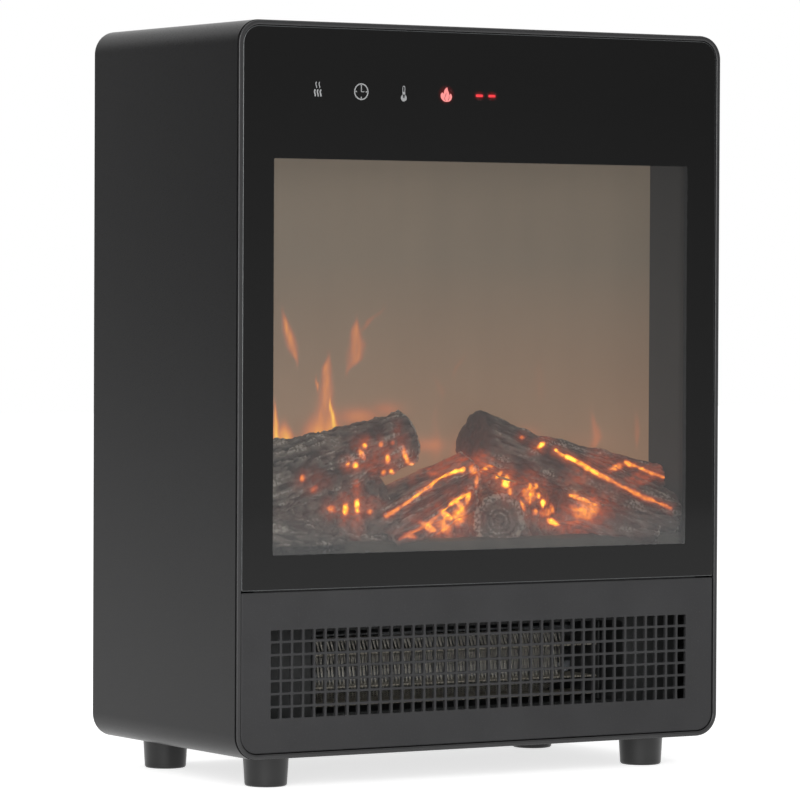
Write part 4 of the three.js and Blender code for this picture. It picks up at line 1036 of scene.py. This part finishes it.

# Glowing places on the logs, as they line up on the front plane: x, z, half-width, half-height, lean, heat. The
# broad, faint entries at the end are painted light: the embers' warm light spread over the log surface round
# them.
EMBER_SPOTS_AND_PAINTED_SPILL = [
    (-70.3, 167.5, 1.6, 1.6, 0, 1.0),
    (-71.8, 163.2, 1.6, 3.4, 30, 0.7),
    (-80.2, 159.0, 1.4, 1.6, 0, 0.85),
    (-75.9, 158.3, 1.9, 1.5, 0, 1.0),
    (-61.1, 168.3, 1.3, 1.6, 0, 0.6),
    (-54.2, 168.9, 1.3, 1.2, 0, 0.55),
    (-56.9, 161.0, 1.7, 2.4, 0, 0.95),
    (-47.0, 163.0, 1.6, 5.0, 20, 0.8),
    (-42.5, 157.4, 3.2, 1.3, -25, 0.8),
    (-59.5, 154.4, 1.4, 1.8, -30, 0.6),
    (-54.9, 154.3, 1.5, 2.0, 0, 0.9),
    (-51.0, 153.6, 2.0, 1.2, 0, 0.75),
    (-106.0, 152.4, 1.4, 1.8, -30, 0.55),
    (-99.2, 146.9, 2.4, 2.0, 0, 0.35),
    (-89.3, 137.0, 2.4, 2.0, -20, 0.65),
    (-81.2, 136.8, 1.8, 2.8, 0, 1.0),
    (-74.8, 138.0, 1.5, 4.2, 0, 1.0),
    (-67.5, 135.2, 2.0, 1.4, 0, 0.6),
    (-74.9, 149.0, 2.2, 2.4, -30, 0.35),
    (-10.4, 140.6, 1.6, 3.4, -20, 1.0),
    (-15.5, 138.0, 4.2, 1.5, -38, 0.85),
    (-23.0, 132.0, 5.6, 2.2, -33, 0.8),
    (-33.0, 126.6, 6.0, 2.0, -27, 0.72),
    (-15.0, 133.0, 4.6, 6.0, -30, 0.68),
    (-25.0, 127.6, 6.4, 3.2, -30, 0.66),
    (-44.0, 122.8, 4.6, 1.4, -15, 0.45),
    (-7.2, 155.2, 2.8, 2.4, 0, 0.62),
    (-5.2, 148.6, 1.3, 3.6, 0, 0.62),
    (5.4, 151.4, 3.2, 1.6, 25, 0.42),
    (12.2, 148.2, 2.4, 3.2, 0, 1.1),
    (8.0, 152.0, 3.0, 1.2, 35, 0.8),
    (0.6, 155.6, 5.0, 1.2, 20, 0.7),
    (26.0, 142.5, 4.6, 5.0, 0, 0.55),
    (36.5, 132.6, 4.4, 2.6, 0, 0.5),
    (14.4, 143.8, 1.5, 2.2, 20, 0.72),
    (17.6, 147.2, 2.4, 1.3, 20, 0.4),
    (26.7, 146.0, 1.2, 1.6, 0, 0.95),
    (30.4, 146.0, 1.2, 1.5, 0, 0.95),
    (26.7, 140.6, 1.0, 3.4, 0, 0.75),
    (31.8, 141.2, 1.2, 1.8, 0, 0.8),
    (34.6, 137.2, 1.5, 2.4, 0, 1.05),
    (22.2, 136.6, 1.1, 3.6, 25, 0.75),
    (29.9, 132.8, 1.5, 2.0, 0, 0.75),
    (40.0, 134.6, 1.2, 3.0, 20, 0.6),
    (40.4, 127.6, 4.0, 1.7, -18, 0.95),
    (60.0, 133.4, 9.0, 6.0, 20, 0.62),
    (33.0, 166.7, 2.6, 1.4, 25, 0.95),
    (22.0, 170.6, 1.6, 1.2, 0, 0.5),
    (78.6, 154.6, 5.0, 1.8, 15, 0.7),
    (57.3, 149.0, 5.0, 3.0, 20, 0.28),
    (-30.0, 152.5, 7.0, 3.0, -30, 0.3),
    (-62.0, 161.0, 16.0, 9.0, 0, 0.2),
    (-76.0, 138.0, 18.0, 6.0, 0, 0.2),
    (-20.0, 158.0, 15.0, 6.0, 0, 0.26),
    (-2.0, 156.0, 9.0, 8.0, 0, 0.3),
    (24.0, 144.0, 16.0, 10.0, 0, 0.24),
    (58.0, 132.0, 20.0, 10.0, 15, 0.28),
    (64.0, 156.0, 22.0, 8.0, 25, 0.2),
    (96.0, 150.0, 16.0, 5.0, 22, 0.24),
    (-100.0, 150.0, 12.0, 8.0, 0, 0.12),
]
# Glowing seams between the logs: points along each, half-width and heat from start to end.
SEAMS = [
    (
        [(-57.8, 133.0), (-47.8, 137.9), (-37.8, 144.3), (-28.4, 150.2), (-20.6, 153.7), (-12.5, 155.4)],
        1.1,
        (0.55, 1.0),
    ),
    ([(42.1, 163.8), (57.2, 156.6), (72.5, 149.6), (87.9, 142.5), (112.8, 133.1)], 1.0, (0.95, 0.5)),
    ([(84.7, 157.1), (96.0, 153.2), (107.4, 149.4), (116.0, 147.4)], 0.9, (0.8, 0.45)),
    ([(51.0, 140.9), (58.0, 139.2), (66.0, 136.0)], 0.9, (0.85, 0.8)),
    ([(-50.0, 121.2), (-33.0, 128.4), (-17.0, 140.2), (-9.4, 143.2)], 0.9, (0.4, 0.95)),
]


def ember_glow_and_painted_spill(x, y, z, relief):
    """How brightly each point glows, from 0 to about 1: ember spots and seams, plus painted light of theirs
    spread over the log surface round them.
    """
    u, v = as_seen(x, y, z)
    places = np.stack([u, v, y / MM], axis=1)
    breakup = 0.75 + 0.55 * fractal(places * 0.45, 3, 71) + 0.35 * (0.45 - relief)
    waver = np.clip(1.0 + 1.3 * fractal(places * 0.22, 3, 77), 0.35, 1.6)
    heat = np.zeros(len(u))
    for cu, cv, wide, tall, lean, level in EMBER_SPOTS_AND_PAINTED_SPILL:
        wide, tall = wide * 1.15, tall * 1.15
        a = math.radians(-lean)
        du = (u - cu) * math.cos(a) - (v - cv) * math.sin(a)
        dv = (u - cu) * math.sin(a) + (v - cv) * math.cos(a)
        d = np.sqrt((du / wide) ** 2 + (dv / tall) ** 2)
        core = level * (1 - ramp(d * (1.25 - 0.25 * breakup), 0.35, 1.5))
        # The faint wide falloff round each spot is painted light: the ember's glow spread onto the log surface
        # near it.
        heat = np.maximum(heat, np.maximum(core, 0.3 * level * np.exp(-((d / 3) ** 2))))
    for points, half, (level0, level1) in SEAMS:
        count = len(points) - 1
        for i in range(count):
            a, b = np.array(points[i]), np.array(points[i + 1])
            t = ((u - a[0]) * (b - a)[0] + (v - a[1]) * (b - a)[1]) / ((b - a) ** 2).sum()
            t = np.clip(t, 0, 1)
            d = np.hypot(u - a[0] - t * (b - a)[0], v - a[1] - t * (b - a)[1]) / half
            level = level0 + (level1 - level0) * (i + t) / count
            core = level * (1 - ramp(d / waver, 0.3, 1.9))
            # Likewise the faint wide falloff round each seam is painted light spread onto the logs near it.
            heat = np.maximum(heat, np.maximum(core, 0.3 * level * np.exp(-((d / 4) ** 2))))
    return np.clip(heat * breakup.clip(0.3, 1.2), 0, 1)


def log_skin(start, end, radii, crumble, char, seed, around=150, pitch=0.75):
    """Points and quads of one charred log, with its ridged bark and cut ends, in millimetres.

    crumble roughens the bark into rocky lumps, and char darkens the start end.
    """
    a, b = (np.array([p[0], p[1], p[2]], float) for p in (start, end))
    axis = b - a
    length = np.linalg.norm(axis)
    axis /= length
    side = np.cross(axis, [0.0, 0.0, 1.0])
    side /= np.linalg.norm(side)
    up = np.cross(side, axis)
    cap = 10
    body = max(int(length / pitch), 12)
    rows = []
    for k in range(cap):
        rows.append((0.0, k / cap))
    for k in range(body + 1):
        rows.append((k / body, 1.0))
    for k in range(cap):
        rows.append((1.0, 1 - (k + 1) / cap))
    rows = np.array(rows)
    angles = np.linspace(0, 2 * np.pi, around, endpoint=False)
    t, ang = np.meshgrid(rows[:, 0], angles, indexing="ij")
    share = np.repeat(rows[:, 1][:, None], around, axis=1)
    radius = radii[0] + (radii[1] - radii[0]) * t
    flat = np.stack([t * length / 30, np.cos(ang) * 1.1 + 7 * seed, np.sin(ang) * 1.1], axis=-1)
    lump = fractal(flat.reshape(-1, 3), 3, seed).reshape(t.shape)
    grain_at = np.stack(
        [t * length / 14, np.cos(ang) * radius / 2.4, np.sin(ang) * radius / 2.4 + 3 * seed], axis=-1
    ).reshape(-1, 3)
    grain = fractal(grain_at + 0.5 * lump.reshape(-1, 1), 4, seed + 5, 0.6).reshape(t.shape)
    warp = np.stack([t * length / 22, np.cos(ang) * radius / 4.5, np.sin(ang) * radius / 4.5 + seed], axis=-1)
    crack = cracked(warp.reshape(-1, 3) + 0.5 * grain.reshape(-1, 1), seed + 11).reshape(t.shape)
    groove = (1 - ramp(crack, 0.02, 0.16)) * ramp(lump, -0.5, 0.35)
    rocky = np.stack(
        [t * length / 5.5, np.cos(ang) * radius / 5.5, np.sin(ang) * radius / 5.5 + seed], axis=-1
    )
    rocks = fractal(rocky.reshape(-1, 3), 3, seed + 29, 0.65).reshape(t.shape)
    rise = radius * 0.12 * lump + 1.5 * grain - 1.1 * groove + 2.6 * crumble * rocks
    end_round = np.clip(np.minimum(t, 1 - t) * length / 1.6, 0, 1)
    edge = np.sqrt(1 - (1 - end_round) ** 2) * 0.06 + 0.94
    r = np.where(share >= 1, (radius + rise) * edge, (radius + rise) * share * 0.94)
    rim = fractal(
        np.stack([np.cos(ang) * 1.6, np.sin(ang) * 1.6, t * 5 + seed], axis=-1).reshape(-1, 3), 3, seed + 23
    ).reshape(t.shape)
    rings = 0.35 * np.sin(share * radius * 1.9 + 2.5 * rim)
    bulge = np.where(share < 1, rings * (1 - share) ** 0.3, 0) + 1.6 * rim
    outward = np.where(t < 0.5, -1, 1)
    near_end = np.clip(1 - np.minimum(t, 1 - t) * length / 5, 0, 1)
    shift = outward * bulge * near_end
    centre = a + (t[..., None] * length + shift[..., None]) * axis
    points = centre + r[..., None] * (np.cos(ang)[..., None] * side + np.sin(ang)[..., None] * up)
    relief = np.clip(0.44 + 0.95 * grain + 0.2 * lump - 0.5 * groove + 0.7 * crumble * rocks, 0, 1)
    relief = np.where(share < 1, np.clip(0.45 + 0.9 * rings + 0.35 * rim, 0, 1), relief)
    relief = np.where((near_end > 0.75) & (share > 0.86), np.maximum(relief, 0.86), relief)
    relief = relief * (1 - char * ramp(-t * length, -9, -1))
    n_rows = len(rows)
    quads = []
    for i in range(n_rows - 1):
        for j in range(around):
            k = (j + 1) % around
            quads.append((i * around + j, i * around + k, (i + 1) * around + k, (i + 1) * around + j))
    return points.reshape(-1, 3), relief.reshape(-1), quads


def rubble_sheet(x0, x1, z0, tops, depth, seed, lean=0.5):
    """A lumpy bank of ember pieces and ash that fills the gaps between the logs, in millimetres."""
    nx, nz = int((x1 - x0) / 0.8), 60
    xs = np.linspace(x0, x1, nx)
    crest = np.interp(xs, [p[0] for p in tops], [p[1] for p in tops])
    rows = np.linspace(0, 1, nz)
    gx, gt = np.meshgrid(xs, rows, indexing="ij")
    gz = z0 + (crest[:, None] - z0) * gt
    flat = np.stack([gx / 6, gz / 6, np.full(gx.shape, seed * 1.7)], axis=-1).reshape(-1, 3)
    lumps = fractal(flat * 0.45, 3, seed + 3).reshape(gx.shape)
    fine = fractal(flat * 2.0, 4, seed + 9, 0.65).reshape(gx.shape)
    cell = cracked(flat + 0.7 * fine.reshape(-1, 1), seed).reshape(gx.shape)
    rise = 1.8 * ramp(cell, 0.0, 0.5) + 3.0 * lumps + 2.4 * fine
    gy = depth + lean * (gz - z0) - rise
    points = np.stack([gx, gy, gz], axis=-1).reshape(-1, 3)
    relief = np.clip(0.2 + 0.3 * ramp(cell, 0.03, 0.5) + 0.7 * fine + 0.2 * lumps, 0, 1).reshape(-1)
    return points, relief, grid_quads(nx, nz)


def make_logs():
    """The moulded log set: logs, ember bank and ash bed, painted and lit from inside, with painted ember light
    spread round the glowing places.
    """
    all_points, all_relief, all_quads, count = [], [], [], 0

    def gather(points, relief, quads):
        nonlocal count
        all_points.append(points)
        all_relief.append(relief)
        all_quads.extend(tuple(i + count for i in q) for q in quads)
        count += len(points)

    for seed, (start, end, radii, crumble, char) in enumerate(LOGS, 1):
        gather(*log_skin(start, end, radii, crumble, char, seed))
    gather(*rubble_sheet(-126, -44, 24, [(-126, 44), (-70, 56), (-50, 52), (-44, 40)], 13, 31, 0.2))
    gather(*rubble_sheet(-48, 40, 12, [(-48, 34), (0, 50), (20, 54), (40, 44)], 25, 37, 0.15))
    gather(*rubble_sheet(20, 126, 12, [(20, 50), (60, 44), (90, 34), (126, 24)], 21, 41, 0.2))

    points = np.concatenate(all_points)
    relief = np.concatenate(all_relief)
    x = points[:, 0] * MM
    y = FRONT_Y + points[:, 1] * MM
    z = FIREBOX_FLOOR + points[:, 2] * MM
    x = np.clip(x, logs_low.x, logs_high.x)
    y = np.clip(y, logs_low.y, logs_high.y)
    z = np.clip(z, logs_low.z, None)
    mesh = bpy.data.meshes.new("charred_logs")
    mesh.from_pydata(np.stack([x, y, z], axis=1).tolist(), [], all_quads)
    mesh.update()
    glow = ember_glow_and_painted_spill(x, y, z, relief)
    add_values(mesh, "relief", relief)
    add_values(mesh, "glow", glow)
    bm = bmesh.new()
    bm.from_mesh(mesh)
    bmesh.ops.remove_doubles(bm, verts=bm.verts, dist=1e-6)
    bmesh.ops.recalc_face_normals(bm, faces=bm.faces)
    bm.to_mesh(mesh)
    bm.free()
    piece("charred_logs", mesh, [charred_wood()], ["log_set"], crease=70)
    make_ash_bed()


def make_ash_bed():
    """The moulding's flat ash-grey step along the window."""
    x0, x1 = logs_low.x, logs_high.x
    y0, y1 = logs_low.y, logs_high.y
    top = FIREBOX_FLOOR + 20.5 * MM
    nx, ny = 250, 40
    verts, flat = [], []
    for i in range(nx + 1):
        for j in range(ny + 1):
            x = x0 + (x1 - x0) * i / nx
            y = y0 + (y1 - y0) * j / ny
            flat.append((x / MM / 9, y / MM / 9, 0.5))
            verts.append([x, y, top])
    rise = fractal(np.array(flat), 4, 51) * 0.9 * MM
    for k, v in enumerate(verts):
        edge = min(1.0, (k % (ny + 1)) / 3)
        v[2] += rise[k] - (1 - edge) ** 2 * 1.2 * MM
    mesh = bpy.data.meshes.new("ash_bed")
    mesh.from_pydata(verts, [], grid_quads(nx + 1, ny + 1))
    close_behind(mesh, 2, logs_low.z)
    ash = surface(
        "ash_paint",
        (92, 92, 86),
        0.8,
        specular=0.2,
        mottle=0.22,
        mottle_scale=90,
        grain=0.2 * MM,
        grain_scale=700,
    )
    piece("ash_bed", mesh, [ash], ["log_set"])


# Flames cast on the screen, as they line up on the front plane: points up the flame with half-widths, heat.
FLAMES = [
    ([(-109.0, 209.5, 0.8), (-112.0, 217.0, 3.0), (-115.2, 224.6, 2.6), (-118.0, 234.0, 0.8)], 0.62),
    (
        [(-81.5, 204.5, 0.8), (-77.0, 210.5, 3.6), (-74.6, 217.7, 4.2), (-75.3, 224.0, 3.0), (-74.5, 230.0, 0.8)],
        0.55,
    ),
    ([(-71.5, 224.0, 1.2), (-67.0, 230.0, 1.6), (-60.0, 235.5, 0.8)], 0.3),
    (
        [(-96.6, 165.0, 9.0), (-95.5, 175.0, 8.0), (-94.0, 186.0, 4.6), (-93.0, 197.0, 3.4), (-91.9, 212.0, 1.0)],
        0.55,
    ),
    ([(-86.0, 172.0, 1.8), (-88.6, 178.0, 1.8), (-90.6, 186.0, 1.2), (-91.0, 192.0, 0.6)], 0.95),
    ([(-104.0, 160.0, 1.6), (-99.6, 172.0, 1.4), (-98.6, 180.0, 0.6)], 0.6),
    ([(-121.0, 160.0, 2.6), (-120.6, 172.0, 2.0), (-121.4, 184.0, 1.0), (-122.0, 190.0, 0.5)], 1.0),
    ([(-116.0, 160.0, 4.4), (-116.0, 172.0, 4.0), (-116.6, 180.0, 2.4)], 0.62),
    ([(-97.6, 196.9, 0.5), (-97.4, 198.1, 0.7), (-98.4, 199.8, 0.4)], 1.25),
    ([(-18.8, 202.0, 0.5), (-15.6, 207.0, 1.1), (-12.0, 212.0, 0.5)], 0.22),
    ([(-26.4, 190.5, 0.8), (-27.2, 195.0, 1.6), (-30.0, 201.0, 0.6)], 0.16),
    ([(-28.6, 160.0, 3.0), (-28.6, 174.0, 2.2), (-29.8, 188.0, 0.8)], 0.16),
    ([(63.6, 163.0, 1.4), (68.0, 170.0, 3.0), (66.0, 178.0, 2.0), (65.0, 184.0, 0.8)], 0.26),
    ([(91.6, 166.0, 1.0), (91.8, 174.0, 1.9), (91.0, 182.0, 0.8)], 0.22),
    ([(34.0, 190.0, 2.0), (32.0, 200.0, 2.4), (31.0, 210.0, 1.0)], 0.08),
]
# Broad warm glow low on the screen, behind the logs: x, z, half-width, half-height, heat.
GLOWS = [
    (-112.0, 166.0, 14.0, 7.0, 0.5),
    (-92.0, 174.0, 12.0, 8.0, 0.5),
    (-74.0, 182.0, 14.0, 5.0, 0.55),
    (-58.0, 185.5, 10.0, 4.0, 0.4),
    (-44.0, 164.0, 5.0, 6.0, 0.35),
    (-34.0, 167.5, 12.0, 4.0, 0.42),
    (-12.4, 165.0, 8.0, 7.0, 0.42),
    (24.0, 172.0, 8.0, 4.0, 0.35),
    (60.0, 168.0, 20.0, 6.0, 0.1),
]


def make_screen():
    """Flame screen: a plate whose front carries the flames in a fine grid."""
    x0, x1, z0, z1 = screen_low.x, screen_high.x, screen_low.z, screen_high.z
    pitch = 0.9 * MM
    nx, nz = int((x1 - x0) / pitch), int((z1 - z0) / pitch)
    xs, zs = np.linspace(x0, x1, nx + 1), np.linspace(z0, z1, nz + 1)
    gx, gz = np.meshgrid(xs, zs, indexing="ij")
    x, z = gx.reshape(-1), gz.reshape(-1)
    y = np.full(len(x), screen_low.y)
    u, v = as_seen(x, y, z)
    sway = fractal(np.stack([u / 12, v / 16, np.zeros(len(u))], axis=1), 3, 83) * 2.4
    wisp = 0.85 + 0.55 * fractal(np.stack([u / 3.0, v / 12, np.ones(len(u))], axis=1), 3, 89)
    heat = np.zeros(len(u))
    for points, level in FLAMES:
        heights = [p[1] for p in points]
        middle = np.interp(v, heights, [p[0] for p in points])
        half = np.interp(v, heights, [p[2] for p in points])
        inside = ramp(v, heights[0] - 5, heights[0] + 3) * (1 - ramp(v, heights[-1] - 6, heights[-1] + 5))
        amount = level * (1 - ramp(np.abs(u + sway - middle) / half, 0.0, 1.9)) * inside
        heat = np.maximum(heat, amount * wisp)
    base = np.zeros(len(u))
    for cu, cv, wide, tall, level in GLOWS:
        d = np.hypot((u - cu) / wide, (v - cv) / tall)
        base = np.maximum(base, level * np.exp(-(d**2)))
    heat = np.clip(heat + 0.8 * base * (1 - heat), 0, 1)
    verts = np.stack([x, y, z], axis=1).tolist()
    mesh = bpy.data.meshes.new("lit_flame_screen")
    mesh.from_pydata(verts, [], grid_quads(nx + 1, nz + 1))
    add_values(mesh, "fire_heat", heat)
    close_behind(mesh, 1, screen_high.y)
    piece("lit_flame_screen", mesh, [screen_acrylic()], ["flame_screen"])


# ---------------------------------------------------------------- heater behind the grille
HEATER_DROP = 3.3 * MM


def make_mica():
    """Mica strips with the notches that space the wire along both long edges."""
    for i in (1, 2, 3):
        name = f"mica_strip_{i}"
        low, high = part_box(name)
        z0, z1 = low.z - HEATER_DROP, high.z - HEATER_DROP
        pitch, notch = WIRE_PITCH, 0.7 * MM
        count = int((high.x - low.x - 4 * MM) / pitch)
        front, rear = [], []
        for k in range(count):
            x = low.x + 2 * MM + k * pitch
            for dx, inward in ((-0.3, 0), (-0.3, 1), (0.3, 1), (0.3, 0)):
                front.append((x + dx * MM, low.y + inward * notch))
                rear.append((x + dx * MM, high.y - inward * notch))
        outline = [(low.x, low.y)] + front + [(high.x, low.y), (high.x, high.y)]
        outline += rear[::-1] + [(low.x, high.y)]
        bm = bmesh.new()
        bottom = [bm.verts.new((x, y, z0)) for x, y in outline]
        top = [bm.verts.new((x, y, z1)) for x, y in outline]
        for k in range(len(outline)):
            bm.faces.new((bottom[k - 1], bottom[k], top[k], top[k - 1]))
        for ring in (bottom, top):
            edges = [bm.edges.get((ring[k - 1], ring[k])) for k in range(len(ring))]
            bmesh.ops.triangle_fill(bm, use_beauty=False, use_dissolve=False, edges=edges)
        piece(f"notched_mica_{i}", finished(bm, f"notched_mica_{i}"), [mica_board], [name])


def make_wires():
    """Zigzag heating wires, folded over the edges of the mica strips."""
    radius = 0.24 * MM
    leans = (0.1, -0.55, -0.75)
    set_back = (15 * MM, 0.0, 0.0)
    for i in range(3):
        low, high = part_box(f"heater_wire_{i + 1}")
        bm = bmesh.new()
        z0, z1 = low.z - HEATER_DROP + 0.1 * MM, high.z - HEATER_DROP - 0.1 * MM
        front, rear = low.y - 0.4 * MM, high.y + 4.5 * MM + set_back[i]
        count = int((high.x - low.x - 2 * MM) / WIRE_PITCH)
        points = []
        for k in range(count):
            x = low.x + 1 * MM + k * WIRE_PITCH
            lean = leans[i] * WIRE_PITCH
            fold = front + 0.6 * MM
            points += [(x, fold + set_back[i], z0), (x, front + set_back[i], z0 + 0.5 * MM)]
            crest = x + lean
            points += [(crest, front, z1 - 0.5 * MM), (crest, fold, z1), (crest + 0.4 * MM, rear, z1)]
            points += [(x + WIRE_PITCH * 0.6, rear, z0)]
        add_tube(bm, points, radius, 5)
        name = f"wound_wire_{i + 1}"
        piece(name, finished(bm, name), [wire_metal], [f"heater_wire_{i + 1}"])


# ---------------------------------------------------------------- rear
def make_rear():
    bm = bmesh.new()

    def outline(inset):
        edge = 1.4 * MM + inset
        return rounded(
            -HALF_WIDTH + edge,
            HALF_WIDTH - edge,
            BODY_BOTTOM + edge,
            BODY_TOP - edge,
            CORNER - edge,
            CORNER - edge,
        )

    slot_half, slot_pitch = 2.5 * MM, 11 * MM
    tunnel_left, tunnel_right, tunnel_floor = -86 * MM, 101 * MM, 34 * MM
    count = int((tunnel_right - tunnel_left - 2 * slot_half) / slot_pitch) + 1
    start = (tunnel_left + tunnel_right - (count - 1) * slot_pitch) / 2
    holes = []
    for low in (tunnel_floor, tunnel_floor + 30 * MM):
        for i in range(count):
            x = start + i * slot_pitch
            holes.append(box_hole(x - slot_half, x + slot_half, low, low + 25 * MM, 2.45 * MM, 6))
    for i in range(9):
        x = (i - 4) * slot_pitch
        holes.append(
            box_hole(x - slot_half, x + slot_half, BODY_TOP - 62 * MM, BODY_TOP - 40 * MM, 2.45 * MM, 6)
        )
    body_low, body_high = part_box("switch_body")
    bezel = 1.5 * MM
    holes.append(
        box_hole(body_low.x + bezel, body_high.x - bezel, body_low.z + bezel, body_high.z - bezel, 0.5 * MM)
    )
    gland_low, gland_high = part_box("cord_gland")
    holes.append(
        round_hole((gland_low.x + gland_high.x) / 2, (gland_low.z + gland_high.z) / 2, 8.3 * MM, 32)
    )
    for k in range(6):
        low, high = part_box(f"cover_screw_{k + 1}")
        holes.append(round_hole((low.x + high.x) / 2, (low.z + high.z) / 2, 2.2 * MM, 20))
    add_plate(bm, outline, holes, cover_low.y, cover_high.y, 0.2 * MM, hole_soft=0.25 * MM)
    mesh = finished(bm, "slotted_rear_cover")
    piece("slotted_rear_cover", mesh, [case_paint], ["rear_cover"])

    for k in range(6):
        low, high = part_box(f"cover_screw_{k + 1}")
        centre = ((low.x + high.x) / 2, low.y, (low.z + high.z) / 2)
        bm = bmesh.new()
        add_cross_screw(bm, centre, high.y - low.y)
        name = f"pan_screw_{k + 1}"
        piece(name, finished(bm, name), [screw_steel], [f"cover_screw_{k + 1}"])


def add_cross_screw(bm, centre, total):
    """A pan-head screw along +Y, with a dished socket that two thin bars cross."""
    head, shank, rise = 3.45 * MM, 1.5 * MM, 2.2 * MM
    x, y, z = centre
    seat = total - rise
    profile = [(0, 0), (shank * 0.3, 0), (shank, 1.2 * MM), (shank, seat), (head, seat)]
    steps = 8
    for k in range(steps):
        a = math.pi / 2 * k / steps
        wide = head * math.cos(a) ** 0.6 if k else head
        profile.append((wide, seat + 0.5 * MM + (rise - 0.5 * MM) * math.sin(a)))
    profile.append((1.3 * MM, total - 0.02 * MM))
    profile.append((0.9 * MM, total - 1.1 * MM))
    profile.append((0, total - 1.3 * MM))
    add_turned(bm, profile, (x, y, z), "Y", 32)
    arm, width = 2.0 * MM, 0.55 * MM
    for dx, dz in ((arm, width), (width, arm)):
        add_box(
            bm,
            (x - dx / 2 - 0.2 * MM, y + total - 0.35 * MM, z - dz / 2),
            (x + dx / 2 + 0.2 * MM, y + total - 0.25 * MM, z + dz / 2),
            0.02 * MM,
        )


# ---------------------------------------------------------------- CAD nodes that stay
FINISHES = {
    "case_paint": case_paint,
    "frame_plastic": bezel_plastic,
    "front_glass": bezel_plastic,
    "grille_paint": grille_paint,
    "foot_rubber": foot_rubber,
    "screw_steel": screw_steel,
    "zinc_steel": zinc_steel,
    "galvanised_sheet": galvanised,
    "mica": mica_board,
    "heating_wire": wire_metal,
    "liner_plastic": liner_plastic,
    "screen_acrylic": liner_plastic,
    "log_resin": liner_plastic,
    "circuit_board": board_green,
    "winding_copper": copper_winding,
    "motor_steel": motor_steel,
    "display_black": display_black,
    "reflector_foil": reflector_foil,
    "nylon": nylon,
    "switch_plastic": switch_plastic,
}


# The parts deep behind the grille take the darker sheet as painted shade.
NODE_FINISHES = {name: recess_shade_sheet for name in ("outlet_baffle", "heater_end_left", "heater_end_right")}


def finish_cad_nodes():
    for name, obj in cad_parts.items():
        for place in obj.material_slots:
            place.material = NODE_FINISHES.get(name) or FINISHES[place.material.name.split(".")[0]]


make_case()
make_bezel()
make_glass()
make_keys()
make_feet()
make_grille()
make_logs()
make_screen()
make_mica()
make_wires()
make_rear()
finish_cad_nodes()
